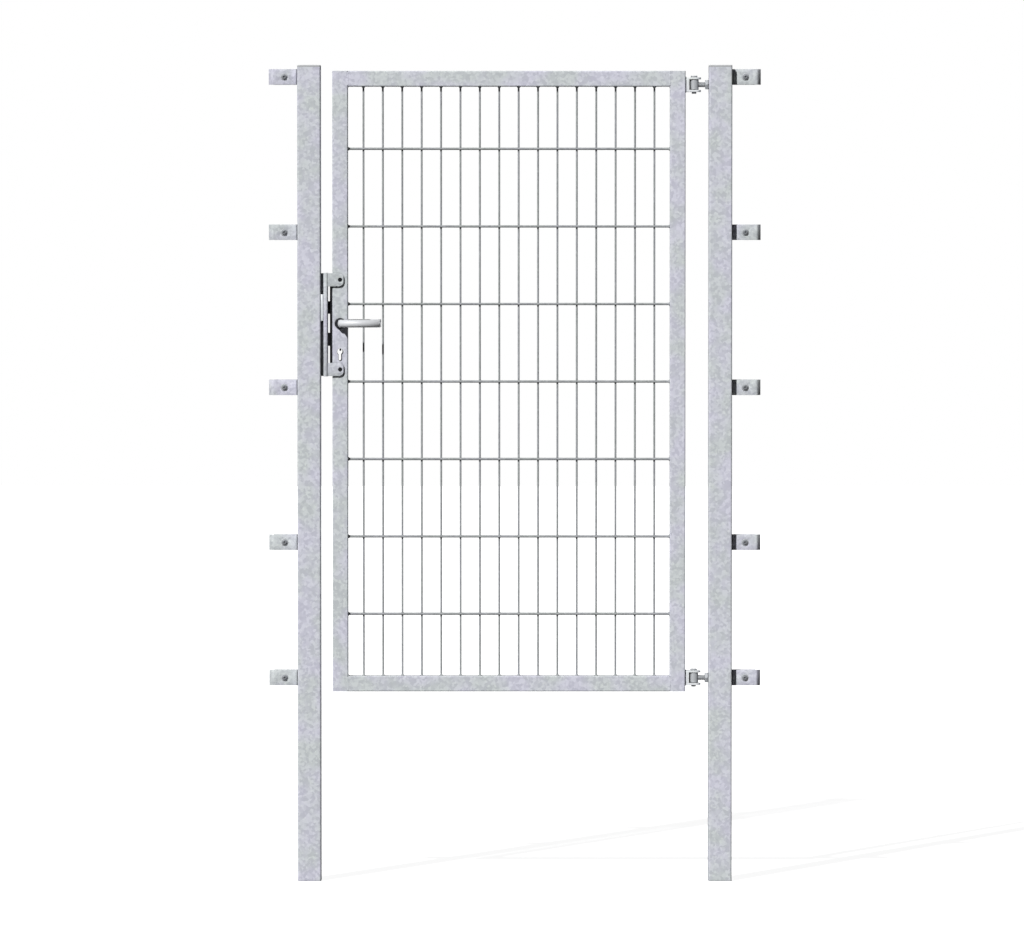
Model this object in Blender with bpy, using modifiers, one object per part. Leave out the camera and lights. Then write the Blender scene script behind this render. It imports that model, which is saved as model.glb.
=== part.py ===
"""Single leaf gate: a tube frame with a double-rod mesh infill, hung between two square posts.

Metres, +Z up. The viewer of the front stands at -Y. The origin is on the front face of the hinge
post, on its centre line and at ground level, so the posts run down below z = 0 into the ground.
The leaf hangs on two adjustable eye bolts and opens away from the viewer.
"""

import math

import bmesh
import bpy
from mathutils import Matrix, Vector

# Gaps between pieces
SEAT_GAP = 0.0003
WELD_DEPTH = 0.001
MERGE = 0.000001

# Posts
POST_SIZE = 0.060
POST_WALL = 0.002
POST_CORNER = 0.004
POST_BURIED = 0.450
POST_ABOVE_LEAF = 0.010
CAP_HEIGHT = 0.005
CAP_SKIRT_DEPTH = 0.015
CAP_SKIRT_WALL = 0.0025

# Leaf and its place between the posts
LEAF_WIDTH = 0.910
LEAF_HEIGHT = 1.600
LEAF_ABOVE_GROUND = 0.040
LATCH_SIDE_GAP = 0.030
HINGE_SIDE_GAP = 0.060
FRAME_TUBE = 0.040
FRAME_WALL = 0.002
FRAME_CORNER = 0.003

# Double-rod mesh
ROD_SIDES = 6
VERTICAL_ROD = 0.005
VERTICAL_PITCH = 0.050
CROSS_ROD = 0.006
CROSS_PITCH = 0.200
ROD_WELD = 0.0003
ROD_END_SPACE = 0.6

# Fence clamps on the outer sides of the posts
CLAMP_COUNT = 5
CLAMP_TOP_DROP = 0.025
CLAMP_PITCH = 0.400
CLAMP_LOWEST = 0.075
CLAMP_HEIGHT = 0.040
CLAMP_REACH = 0.0743
CLAMP_SET_BACK = 0.006
CLAMP_SHEET = 0.003
CLAMP_LIP = 0.013
CLAMP_LIP_ANGLE = 50.0
CLAMP_OUTER_BEND = 0.0055
CLAMP_INNER_BEND = 0.0017
CLAMP_POST_SPACE = 0.0005
MAT_THICKNESS = 0.017
LUG_LENGTH = 0.066
LUG_THICKNESS = 0.004
LUG_CORNER = 0.005
CLAMP_BOLT_OFFSET = 0.0345
CLAMP_BOLT_SIZE = 0.008
CLAMP_HEAD = 0.014
CLAMP_HEAD_HEIGHT = 0.0044
CLAMP_NUT = 0.013
CLAMP_NUT_HEIGHT = 0.0065
CLAMP_BOLT_END = 0.0025

# Hinges
HINGE_END_DISTANCE = 0.035
PIN_FROM_STILE = 0.022
PIN_SIZE = 0.012
PIN_HEAD = 0.017
PIN_HEAD_HEIGHT = 0.004
PIN_TAIL = 0.0046
PIN_RUNNING_GAP = 0.0005
CLEVIS_LENGTH = 0.040
CLEVIS_WIDTH = 0.028
CLEVIS_INSIDE = 0.0275
CLEVIS_ARM = 0.005
CLEVIS_SPINE = 0.009
CLEVIS_CORNER = 0.003
EYE_BARREL = 0.024
EYE_HEIGHT = 0.0265
SHANK_SIZE = 0.016
SHANK_IN_POST = 0.018
BOSS_SIZE = 0.026
BOSS_LENGTH = 0.012
LOCK_NUT_FLATS = 0.024
LOCK_NUT_THICKNESS = 0.0092

# Lock
LEVER_HEIGHT = 0.990
LOCK_BACKSET = 0.020
FOREND_WIDTH = 0.024
FOREND_THICKNESS = 0.0047
FOREND_ABOVE = 0.115
FOREND_BELOW = 0.120
CASE_THICKNESS = 0.017
CASE_DEPTH = 0.034
CASE_ABOVE = 0.103
CASE_BELOW = 0.108
LATCH_ABOVE_LEVER = 0.041
LATCH_HEIGHT = 0.0325
LATCH_THICKNESS = 0.014
LATCH_THROW = 0.013
LATCH_BEVEL = 0.011
LATCH_TAIL = 0.0165
BOLT_BELOW_LEVER = 0.041
BOLT_HEIGHT = 0.034
BOLT_THICKNESS = 0.014
BOLT_THROW = 0.017
BOLT_TAIL = 0.0185
BOLT_CHAMFER = 0.001
POCKET_END_SPACE = 0.0015
CYLINDER_BELOW_LEVER = 0.073
CYLINDER_ROUND = 0.017
CYLINDER_SLOT = 0.010
CYLINDER_TOTAL = 0.033
SPINDLE_SIZE = 0.008
SPINDLE_HOLE = 0.0124
SPINDLE_INSERTION = 0.015

# Lever handles and rosettes
ROSETTE_SIZE = 0.028
ROSETTE_HEIGHT = 0.006
ROSETTE_CHAMFER = 0.001
LEVER_NECK_BASE = 0.013
LEVER_NECK = 0.0105
LEVER_GRIP = 0.020
LEVER_BEND = 0.013
LEVER_BOW = 0.080
LEVER_BOW_START = 36.0
LEVER_PROJECTION = 0.077
LEVER_LENGTH = 0.104

# Strike
STRIKE_HEIGHT = 0.267
STRIKE_BASE_THICKNESS = 0.0071
STRIKE_BASE_FRONT = 0.016
STRIKE_BASE_REAR = 0.048
STRIKE_BOX_WIDTH = 0.0108
STRIKE_BOX_FRONT = 0.001
STRIKE_BOX_REAR = 0.050
STRIKE_WALL = 0.003
STRIKE_BEND = 0.0045
STRIKE_CORNER = 0.001
STRIKE_CENTRE_BELOW_LEVER = 0.003
WINDOW_CLEARANCE = 0.00125
TAB_HEIGHT = 0.034
TAB_THICKNESS = 0.003
TAB_OVER_STILE = 0.029
TAB_CORNER = 0.012
TAB_SET_BACK = 0.003
TAB_END_SPACE = 0.001
BUFFER_FROM_TAB_END = 0.009
BUFFER_STEM = 0.0105
BUFFER_HEAD = 0.016
BUFFER_PROUD = 0.0005
INSERT_HEIGHT = 0.068
INSERT_FRONT = 0.001
INSERT_CORNER = 0.001

# Places worked out from the sizes above
MID_Y = POST_SIZE / 2
POST_FACE_X = -POST_SIZE / 2
LEAF_RIGHT = POST_FACE_X - HINGE_SIDE_GAP
LEAF_LEFT = LEAF_RIGHT - LEAF_WIDTH
LATCH_POST_FACE_X = LEAF_LEFT - LATCH_SIDE_GAP
LATCH_POST_X = LATCH_POST_FACE_X - POST_SIZE / 2
LEAF_TOP = LEAF_ABOVE_GROUND + LEAF_HEIGHT
POST_TOP = LEAF_TOP + POST_ABOVE_LEAF
LEAF_FRONT = MID_Y - FRAME_TUBE / 2
LEAF_REAR = MID_Y + FRAME_TUBE / 2
PIN_X = LEAF_RIGHT + PIN_FROM_STILE
HINGE_HEIGHTS = {
    "top": LEAF_TOP - HINGE_END_DISTANCE,
    "bottom": LEAF_ABOVE_GROUND + HINGE_END_DISTANCE,
}
LEVER_X = LEAF_LEFT + LOCK_BACKSET
LATCH_Z = LEVER_HEIGHT + LATCH_ABOVE_LEVER
BOLT_Z = LEVER_HEIGHT - BOLT_BELOW_LEVER
CYLINDER_Z = LEVER_HEIGHT - CYLINDER_BELOW_LEVER
FOREND_FACE_X = LEAF_LEFT - SEAT_GAP - FOREND_THICKNESS
STRIKE_Z = LEVER_HEIGHT - STRIKE_CENTRE_BELOW_LEVER
STRIKE_BASE_X = LATCH_POST_FACE_X + SEAT_GAP + STRIKE_BASE_THICKNESS
TAB_FRONT = STRIKE_BOX_FRONT + TAB_SET_BACK
CLAMP_FRONT_Y = MID_Y + CLAMP_SET_BACK - MAT_THICKNESS / 2
CLAMP_REAR_Y = MID_Y + CLAMP_SET_BACK + MAT_THICKNESS / 2

# Directions in which a flat outline is thickened
ALONG_Z = Matrix.Identity(4)
ALONG_Y = Matrix(((1, 0, 0, 0), (0, 0, -1, 0), (0, 1, 0, 0), (0, 0, 0, 1)))
ALONG_X = Matrix(((0, 0, 1, 0), (1, 0, 0, 0), (0, 1, 0, 0), (0, 0, 0, 1)))


# Scene, collection and materials

for old in list(bpy.data.objects):
    bpy.data.objects.remove(old, do_unlink=True)

gate = bpy.data.collections.new("single_leaf_gate")
bpy.context.scene.collection.children.link(gate)


def make_material(name, colour, roughness, metallic):
    """A Principled material with one colour, roughness and metallic value."""
    material = bpy.data.materials.new(name)
    material.use_nodes = True
    shader = material.node_tree.nodes["Principled BSDF"]
    shader.inputs["Base Color"].default_value = (*colour, 1.0)
    shader.inputs["Roughness"].default_value = roughness
    shader.inputs["Metallic"].default_value = metallic
    return material


GALVANISED = make_material("galvanised_steel", (0.56, 0.59, 0.62), 0.45, 0.6)
ZINC = make_material("zinc_plated_steel", (0.50, 0.52, 0.55), 0.35, 0.8)
STAINLESS = make_material("stainless_steel", (0.60, 0.60, 0.60), 0.30, 0.9)
DARK_STEEL = make_material("dark_steel", (0.05, 0.05, 0.053), 0.40, 0.6)
ALUMINIUM = make_material("anodised_aluminium", (0.78, 0.79, 0.80), 0.35, 0.7)
BLACK_PLASTIC = make_material("black_plastic", (0.02, 0.02, 0.02), 0.45, 0.0)
RUBBER = make_material("black_rubber", (0.015, 0.015, 0.015), 0.75, 0.0)
CAP_PLASTIC = make_material("grey_plastic", (0.36, 0.38, 0.40), 0.50, 0.0)


# Outlines, as lists of points in a plane

def arc(centre, radius, start, end, steps):
    """Points on an arc from the start angle to the end angle, both in degrees."""
    points = []
    for step in range(steps + 1):
        angle = math.radians(start + (end - start) * step / steps)
        points.append((centre[0] + radius * math.cos(angle), centre[1] + radius * math.sin(angle)))
    return points


def circle(radius, steps, centre=(0.0, 0.0), turn=0.0):
    """A round outline; turn places its first corner, in degrees."""
    return arc(centre, radius, turn, turn + 360.0, steps)[:-1]


def rounded_box(low, high, radii, steps=4):
    """A rectangle with its own radius at each corner: low-low, high-low, high-high, low-high."""
    corners = (
        (low[0] + radii[0], low[1] + radii[0], 180.0),
        (high[0] - radii[1], low[1] + radii[1], 270.0),
        (high[0] - radii[2], high[1] - radii[2], 0.0),
        (low[0] + radii[3], high[1] - radii[3], 90.0),
    )
    points = []
    for radius, (x, y, start) in zip(radii, corners):
        if radius > 0:
            points += arc((x, y), radius, start, start + 90.0, steps)
        else:
            points.append((x, y))
    return points


def square(size, corner, steps=4):
    """A centred square with rounded corners."""
    return rounded_box((-size / 2, -size / 2), (size / 2, size / 2), (corner,) * 4, steps)


def bent_strip(path, thickness, bend_radii, steps=5):
    """The edge outline of a flat strip that follows a path, with a bend at each inner point."""
    middle = []
    path = [Vector(point) for point in path]
    for index, point in enumerate(path):
        if index == 0 or index == len(path) - 1:
            ahead = path[1] - path[0] if index == 0 else path[-1] - path[-2]
            middle.append((point, ahead.normalized()))
            continue
        into = (point - path[index - 1]).normalized()
        out = (path[index + 1] - point).normalized()
        turn = math.atan2(into.x * out.y - into.y * out.x, into.dot(out))
        radius = bend_radii[index - 1]
        side = math.copysign(1.0, turn)
        start = point - into * radius * math.tan(abs(turn) / 2)
        centre = start + Vector((-into.y, into.x)) * side * radius
        for step in range(steps + 1):
            part = Matrix.Rotation(turn * step / steps, 2)
            middle.append((centre + part @ (start - centre), part @ into))
    left = [(p.x - d.y * thickness / 2, p.y + d.x * thickness / 2) for p, d in middle]
    right = [(p.x + d.y * thickness / 2, p.y - d.x * thickness / 2) for p, d in middle]
    return left + right[::-1]


# Solids made from outlines, primitives, revolved profiles and swept curves

def evaluated_mesh(obj):
    """The object's mesh as the viewport shows it, welded, with its faces pointing out."""
    depsgraph = bpy.context.evaluated_depsgraph_get()
    mesh = bpy.data.meshes.new_from_object(obj.evaluated_get(depsgraph))
    shape = bmesh.new()
    shape.from_mesh(mesh)
    bmesh.ops.remove_doubles(shape, verts=shape.verts, dist=MERGE)
    bmesh.ops.recalc_face_normals(shape, faces=shape.faces)
    shape.to_mesh(mesh)
    shape.free()
    return mesh


def new_object(name, data, location=(0, 0, 0), material=None):
    """Put a mesh or a curve in the gate's collection."""
    obj = bpy.data.objects.new(name, data)
    obj.location = location
    gate.objects.link(obj)
    if material:
        data.materials.clear()
        data.materials.append(material)
    return obj


def mesh_from_curve(curve, name, turn, location, material):
    """Turn a curve into a closed mesh object of the same name."""
    guide = new_object(name + "_curve", curve)
    mesh = evaluated_mesh(guide)
    bpy.data.objects.remove(guide, do_unlink=True)
    bpy.data.curves.remove(curve)
    mesh.transform(turn)
    mesh.name = name
    return new_object(name, mesh, location, material)


def plate(name, outlines, thickness, direction=ALONG_Z, location=(0, 0, 0), material=None):
    """A flat outline with any inner outlines as holes, thickened evenly to both sides."""
    curve = bpy.data.curves.new(name, "CURVE")
    curve.dimensions = "2D"
    curve.fill_mode = "BOTH"
    curve.extrude = thickness / 2
    for outline in outlines:
        spline = curve.splines.new("POLY")
        spline.points.add(len(outline) - 1)
        for point, (x, y) in zip(spline.points, outline):
            point.co = (x, y, 0, 1)
        spline.use_cyclic_u = True
    return mesh_from_curve(curve, name, direction, location, material)


def block(name, low, high, material=None):
    """A plain box between two corners."""
    low = Vector(low)
    high = Vector(high)
    shape = bmesh.new()
    bmesh.ops.create_cube(shape, size=1.0)
    bmesh.ops.scale(shape, vec=high - low, verts=shape.verts)
    mesh = bpy.data.meshes.new(name)
    shape.to_mesh(mesh)
    shape.free()
    return new_object(name, mesh, (low + high) / 2, material)


def cylinder(name, radius, start, end, sides, material=None):
    """A round bar from one point to another."""
    start = Vector(start)
    end = Vector(end)
    axis = end - start
    shape = bmesh.new()
    bmesh.ops.create_cone(shape, cap_ends=True, segments=sides, radius1=radius, radius2=radius,
                          depth=axis.length)
    mesh = bpy.data.meshes.new(name)
    shape.to_mesh(mesh)
    shape.free()
    mesh.transform(axis.to_track_quat("Z", "Y").to_matrix().to_4x4())
    return new_object(name, mesh, (start + end) / 2, material)


def turned(name, profile, sides, direction, location, material=None):
    """A profile of radius and height, from top to bottom, revolved about its own axis."""
    mesh = bpy.data.meshes.new(name)
    shape = bmesh.new()
    corners = [shape.verts.new((radius, 0, height)) for radius, height in profile]
    for first, second in zip(corners, corners[1:]):
        shape.edges.new((first, second))
    shape.to_mesh(mesh)
    shape.free()
    guide = new_object(name + "_profile", mesh)
    screw = guide.modifiers.new("turn", "SCREW")
    screw.steps = sides
    screw.render_steps = sides
    screw.use_merge_vertices = True
    screw.merge_threshold = MERGE
    solid = evaluated_mesh(guide)
    bpy.data.objects.remove(guide, do_unlink=True)
    solid.transform(direction)
    return new_object(name, solid, location, material)


def combine(target, tool, operation):
    """Cut a tool out of a piece, weld it on, or keep what both share."""
    boolean = target.modifiers.new(operation.lower(), "BOOLEAN")
    boolean.operation = operation
    boolean.object = tool
    mesh = evaluated_mesh(target)
    target.modifiers.clear()
    target.data = mesh
    bpy.data.objects.remove(tool, do_unlink=True)
    return target


def cut(target, *tools):
    """Cut each tool out of the piece."""
    for tool in tools:
        combine(target, tool, "DIFFERENCE")
    return target


def weld(target, *tools):
    """Make each tool one with the piece."""
    for tool in tools:
        combine(target, tool, "UNION")
    return target


# Posts with their welded clamp lugs

def clamp_heights():
    """The clamps hang down from the post's top at an even pitch; the last sits near the ground."""
    heights = [POST_TOP - CLAMP_TOP_DROP - CLAMP_PITCH * row for row in range(CLAMP_COUNT - 1)]
    return heights + [CLAMP_LOWEST]


def clamp_lug(post_x, side, height):
    """A flat lug behind the fence mat, welded to the outer side of a post."""
    inner = POST_SIZE / 2 - WELD_DEPTH
    outer = POST_SIZE / 2 + LUG_LENGTH
    outline = rounded_box((inner, -CLAMP_HEIGHT / 2), (outer, CLAMP_HEIGHT / 2),
                          (0, LUG_CORNER, LUG_CORNER, 0))
    hole = circle(CLAMP_BOLT_SIZE / 2 + SEAT_GAP, 12,
                  (POST_SIZE / 2 + CLAMP_BOLT_OFFSET, 0))
    outlines = [[(side * x, z) for x, z in points] for points in (outline, hole)]
    return plate("lug", outlines, LUG_THICKNESS, ALONG_Y,
                 (post_x, CLAMP_REAR_Y + LUG_THICKNESS / 2, height))


def make_post(name, post_x, side):
    """A square tube, open at its foot, with one lug for each clamp on its outer side."""
    length = POST_TOP + POST_BURIED
    walls = [square(POST_SIZE, POST_CORNER), square(POST_SIZE - 2 * POST_WALL, POST_CORNER - POST_WALL)]
    post = plate(name, walls, length, ALONG_Z, (post_x, MID_Y, POST_TOP - length / 2), GALVANISED)
    weld(post, *[clamp_lug(post_x, side, height) for height in clamp_heights()])
    return post


def drill_for_hinge(post, height):
    """A threaded boss inside the post's gate side, and the hole for the shank of the hinge eye."""
    wall_x = POST_FACE_X + POST_WALL
    boss = cylinder("boss", BOSS_SIZE / 2, (wall_x - WELD_DEPTH, MID_Y, height),
                    (wall_x + BOSS_LENGTH, MID_Y, height), 16)
    hole = cylinder("hole", SHANK_SIZE / 2 + SEAT_GAP, (POST_FACE_X - WELD_DEPTH, MID_Y, height),
                    (wall_x + BOSS_LENGTH + WELD_DEPTH, MID_Y, height), 20)
    weld(post, boss)
    cut(post, hole)


def make_cap(name, post_x):
    """A flush cap whose skirt plugs the open top of the post."""
    thickness = CAP_HEIGHT - SEAT_GAP
    cap = plate(name, [square(POST_SIZE, POST_CORNER)], thickness, ALONG_Z,
                (post_x, MID_Y, POST_TOP + SEAT_GAP + thickness / 2), CAP_PLASTIC)
    outside = POST_SIZE - 2 * POST_WALL - 2 * SEAT_GAP
    inner_corner = POST_CORNER - POST_WALL
    skirt_top = POST_TOP + SEAT_GAP + CAP_HEIGHT / 2
    depth = CAP_SKIRT_DEPTH + CAP_HEIGHT / 2
    skirt = plate("skirt", [square(outside, inner_corner),
                            square(outside - 2 * CAP_SKIRT_WALL, inner_corner / 2)],
                  depth, ALONG_Z, (post_x, MID_Y, skirt_top - depth / 2))
    weld(cap, skirt)
    return cap


posts = [make_post("hinge_post", 0.0, 1), make_post("latch_post", LATCH_POST_X, -1)]
for hinge_height in HINGE_HEIGHTS.values():
    drill_for_hinge(posts[0], hinge_height)
make_cap("hinge_post_cap", 0.0)
make_cap("latch_post_cap", LATCH_POST_X)


# Clamp plates and clamp bolts

def clamp_plate_mesh(side):
    """A strip with a leg at the post and a slanting lip, which presses the mat against the lug."""
    leg_x = POST_SIZE / 2 + CLAMP_POST_SPACE + CLAMP_SHEET / 2
    run_y = CLAMP_FRONT_Y - CLAMP_SHEET / 2
    slant = math.radians(CLAMP_LIP_ANGLE)
    end_x = POST_SIZE / 2 + CLAMP_REACH - CLAMP_SHEET / 2 * math.sin(slant)
    path = ((leg_x, CLAMP_REAR_Y - SEAT_GAP), (leg_x, run_y),
            (end_x - CLAMP_LIP * math.cos(slant), run_y),
            (end_x, run_y + CLAMP_LIP * math.sin(slant)))
    strip = bent_strip(path, CLAMP_SHEET, (CLAMP_INNER_BEND, CLAMP_OUTER_BEND))
    piece = plate("clamp_plate", [[(side * x, y) for x, y in strip]], CLAMP_HEIGHT)
    bolt_x = side * (POST_SIZE / 2 + CLAMP_BOLT_OFFSET)
    cut(piece, cylinder("hole", CLAMP_BOLT_SIZE / 2 + SEAT_GAP, (bolt_x, run_y - CLAMP_SHEET, 0),
                        (bolt_x, run_y + CLAMP_SHEET, 0), 12))
    mesh = piece.data
    bpy.data.objects.remove(piece, do_unlink=True)
    mesh.materials.clear()
    mesh.materials.append(GALVANISED)
    return mesh


def clamp_bolt_mesh():
    """A button head screw through plate and lug, from its head at the front to the nut behind."""
    head_seat = CLAMP_FRONT_Y - CLAMP_SHEET - SEAT_GAP
    nut_seat = CLAMP_REAR_Y + LUG_THICKNESS + SEAT_GAP
    end = nut_seat + CLAMP_NUT_HEIGHT + CLAMP_BOLT_END
    head = CLAMP_HEAD / 2
    profile = [(0, CLAMP_HEAD_HEIGHT), (head - CLAMP_HEAD_HEIGHT / 2, CLAMP_HEAD_HEIGHT),
               (head, CLAMP_HEAD_HEIGHT / 2), (head, 0), (CLAMP_BOLT_SIZE / 2, 0),
               (CLAMP_BOLT_SIZE / 2, head_seat - end), (0, head_seat - end)]
    bolt = turned("clamp_bolt", profile, 12, ALONG_Y, (0, head_seat, 0))
    nut = plate("nut", [circle(CLAMP_NUT / math.sqrt(3), 6, turn=30.0)], CLAMP_NUT_HEIGHT, ALONG_Y,
                (0, nut_seat + CLAMP_NUT_HEIGHT / 2, 0))
    weld(bolt, nut)
    mesh = bolt.data
    mesh.transform(Matrix.Translation((0, head_seat, 0)))
    bpy.data.objects.remove(bolt, do_unlink=True)
    mesh.materials.clear()
    mesh.materials.append(ZINC)
    return mesh


bolt_mesh = clamp_bolt_mesh()
for post_name, clamp_post_x, clamp_side in (("hinge", 0.0, 1), ("latch", LATCH_POST_X, -1)):
    plate_mesh = clamp_plate_mesh(clamp_side)
    bolt_x = clamp_post_x + clamp_side * (POST_SIZE / 2 + CLAMP_BOLT_OFFSET)
    for number, clamp_height in enumerate(clamp_heights(), 1):
        new_object(f"clamp_plate_{post_name}_{number}", plate_mesh, (clamp_post_x, 0, clamp_height))
        new_object(f"clamp_bolt_{post_name}_{number}", bolt_mesh, (bolt_x, 0, clamp_height))


# Moving groups: an empty on each joint's axis carries the pieces that move with it

def pivot(name, location, parent=None):
    """An empty on a joint's axis."""
    empty = bpy.data.objects.new(name, None)
    empty.empty_display_size = 0.05
    empty.location = location
    gate.objects.link(empty)
    if parent:
        empty.parent = parent
        empty.location = Vector(location) - Vector(parent.location)
    return empty


def hang_on(empty, origin, *pieces):
    """Parent pieces to an empty that stands at the origin given, and leave them where they are."""
    for piece in pieces:
        piece.parent = empty
        piece.matrix_parent_inverse = Matrix.Translation(origin).inverted()


gate_axis = (PIN_X, MID_Y, 0.0)
lever_axis = (LEVER_X, MID_Y, LEVER_HEIGHT)
latch_origin = (FOREND_FACE_X, MID_Y, LATCH_Z)
bolt_origin = (FOREND_FACE_X, MID_Y, BOLT_Z)
gate_pivot = pivot("gate_pivot", gate_axis)
lever_pivot = pivot("lever_pivot", lever_axis, gate_pivot)
latch_guide = pivot("latch_guide", latch_origin, gate_pivot)
bolt_guide = pivot("dead_bolt_guide", bolt_origin, gate_pivot)


# Leaf frame

def tube_outlines(size, wall, corner):
    """The outer and the inner outline of a square tube."""
    return [square(size, corner), square(size - 2 * wall, corner - wall)]


def make_stile(name, centre_x):
    """An upright of the full height, closed at its top and open for draining at its foot."""
    middle = LEAF_ABOVE_GROUND + LEAF_HEIGHT / 2
    stile = plate(name, tube_outlines(FRAME_TUBE, FRAME_WALL, FRAME_CORNER), LEAF_HEIGHT, ALONG_Z,
                  (centre_x, MID_Y, middle), GALVANISED)
    lid_size = FRAME_TUBE - FRAME_WALL
    lid = plate("lid", [square(lid_size, FRAME_CORNER - FRAME_WALL / 2)], FRAME_WALL, ALONG_Z,
                (centre_x, MID_Y, LEAF_TOP - WELD_DEPTH / 2 - FRAME_WALL / 2))
    weld(stile, lid)
    return stile


def make_rail(name, height):
    """A cross tube butted between the stiles."""
    length = LEAF_WIDTH - 2 * FRAME_TUBE - 2 * SEAT_GAP
    return plate(name, tube_outlines(FRAME_TUBE, FRAME_WALL, FRAME_CORNER), length, ALONG_X,
                 (LEAF_LEFT + LEAF_WIDTH / 2, MID_Y, height), GALVANISED)


latch_stile = make_stile("latch_stile", LEAF_LEFT + FRAME_TUBE / 2)
hinge_stile = make_stile("hinge_stile", LEAF_RIGHT - FRAME_TUBE / 2)
top_rail = make_rail("top_rail", LEAF_TOP - FRAME_TUBE / 2)
bottom_rail = make_rail("bottom_rail", LEAF_ABOVE_GROUND + FRAME_TUBE / 2)


# Double-rod mesh infill

def rod_bundle(name, size, lines, material=None):
    """Straight rods of few sides, each with a flat towards the front and the back."""
    bundle = bmesh.new()
    flat_turn = Matrix.Rotation(math.pi / ROD_SIDES, 4, "Z")
    radius = size / 2 / math.cos(math.pi / ROD_SIDES)
    for start, end in lines:
        axis = Vector(end) - Vector(start)
        middle = Matrix.Translation((Vector(start) + Vector(end)) / 2)
        aim = axis.to_track_quat("Z", "Y").to_matrix().to_4x4()
        bmesh.ops.create_cone(bundle, cap_ends=True, segments=ROD_SIDES, radius1=radius,
                              radius2=radius, depth=axis.length, matrix=middle @ aim @ flat_turn)
    mesh = bpy.data.meshes.new(name)
    bundle.to_mesh(mesh)
    bundle.free()
    return new_object(name, mesh, (0, 0, 0), material)


def even_places(low, high, pitch):
    """Centred places at the pitch, as many as leave the end space, a share of it, at both ends."""
    count = int((high - low) / pitch - 2 * ROD_END_SPACE) + 1
    first = (low + high) / 2 - (count - 1) * pitch / 2
    return [first + pitch * index for index in range(count)]


def make_mesh_infill():
    """Single upright rods between pairs of cross rods, welded at every crossing."""
    left = LEAF_LEFT + FRAME_TUBE + SEAT_GAP
    right = LEAF_RIGHT - FRAME_TUBE - SEAT_GAP
    low = LEAF_ABOVE_GROUND + FRAME_TUBE + SEAT_GAP
    high = LEAF_TOP - FRAME_TUBE - SEAT_GAP
    uprights = [((x, MID_Y, low), (x, MID_Y, high)) for x in even_places(left, right, VERTICAL_PITCH)]
    offset = (VERTICAL_ROD + CROSS_ROD) / 2 - ROD_WELD
    crossings = []
    for z in even_places(LEAF_ABOVE_GROUND, LEAF_TOP, CROSS_PITCH):
        for y in (MID_Y - offset, MID_Y + offset):
            crossings.append(((left, y, z), (right, y, z)))
    infill = rod_bundle("mesh_infill", VERTICAL_ROD, uprights, GALVANISED)
    return weld(infill, rod_bundle("cross_rods", CROSS_ROD, crossings))


mesh_infill = make_mesh_infill()


# Hinges

def make_clevis(name, height):
    """A forged U on the hinge stile, whose arms hold the pin above and below the eye."""
    back = LEAF_RIGHT + SEAT_GAP
    face = back + CLEVIS_SPINE
    tip = LEAF_RIGHT + CLEVIS_LENGTH
    inside = CLEVIS_INSIDE / 2
    half = inside + CLEVIS_ARM
    outline = [(tip, inside), (tip, half)]
    outline += arc((back + CLEVIS_CORNER, half - CLEVIS_CORNER), CLEVIS_CORNER, 90.0, 180.0, 4)
    outline += arc((back + CLEVIS_CORNER, CLEVIS_CORNER - half), CLEVIS_CORNER, 180.0, 270.0, 4)
    outline += [(tip, -half), (tip, -inside)]
    fillet = CLEVIS_CORNER / 2
    outline += arc((face + fillet, fillet - inside), fillet, 270.0, 180.0, 3)
    outline += arc((face + fillet, inside - fillet), fillet, 180.0, 90.0, 3)
    clevis = plate(name, [outline], CLEVIS_WIDTH, ALONG_Y, (0, MID_Y, height), GALVANISED)
    radius = CLEVIS_WIDTH / 2
    plan = [(back - WELD_DEPTH, radius), (back - WELD_DEPTH, -radius)]
    plan += arc((tip - radius, 0), radius, -90.0, 90.0, 10)
    combine(clevis, plate("plan", [plan], 2 * half + CLEVIS_ARM, ALONG_Z, (0, MID_Y, height)),
            "INTERSECT")
    cut(clevis, cylinder("hole", PIN_SIZE / 2 + SEAT_GAP, (PIN_X, MID_Y, height - 2 * half),
                         (PIN_X, MID_Y, height + 2 * half), 20))
    return clevis


def make_hinge_pin(name, height):
    """A headed pin, dropped in from above; its tail shows below the lower arm."""
    top = CLEVIS_INSIDE / 2 + CLEVIS_ARM + SEAT_GAP
    tail = CLEVIS_INSIDE / 2 + CLEVIS_ARM + PIN_TAIL
    chamfer = PIN_HEAD_HEIGHT / 4
    profile = [(0, top + PIN_HEAD_HEIGHT), (PIN_HEAD / 2 - chamfer, top + PIN_HEAD_HEIGHT),
               (PIN_HEAD / 2, top + PIN_HEAD_HEIGHT - chamfer), (PIN_HEAD / 2, top),
               (PIN_SIZE / 2, top), (PIN_SIZE / 2, chamfer - tail),
               (PIN_SIZE / 2 - chamfer, -tail), (0, -tail)]
    return turned(name, profile, 20, ALONG_Z, (PIN_X, MID_Y, height), ZINC)


def make_eye_bolt(name, height):
    """A bored barrel on a threaded shank, which screws into the post. The clevis rests on it."""
    top = height + CLEVIS_INSIDE / 2 - SEAT_GAP
    bottom = top - EYE_HEIGHT
    eye = cylinder(name, EYE_BARREL / 2, (PIN_X, MID_Y, bottom), (PIN_X, MID_Y, top), 24, ZINC)
    shank = cylinder("shank", SHANK_SIZE / 2, (PIN_X, MID_Y, height),
                     (POST_FACE_X + SHANK_IN_POST, MID_Y, height), 20)
    bore = cylinder("bore", PIN_SIZE / 2 + PIN_RUNNING_GAP, (PIN_X, MID_Y, bottom - EYE_HEIGHT),
                    (PIN_X, MID_Y, top + EYE_HEIGHT), 24)
    weld(eye, shank)
    cut(eye, bore)
    return eye


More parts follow.
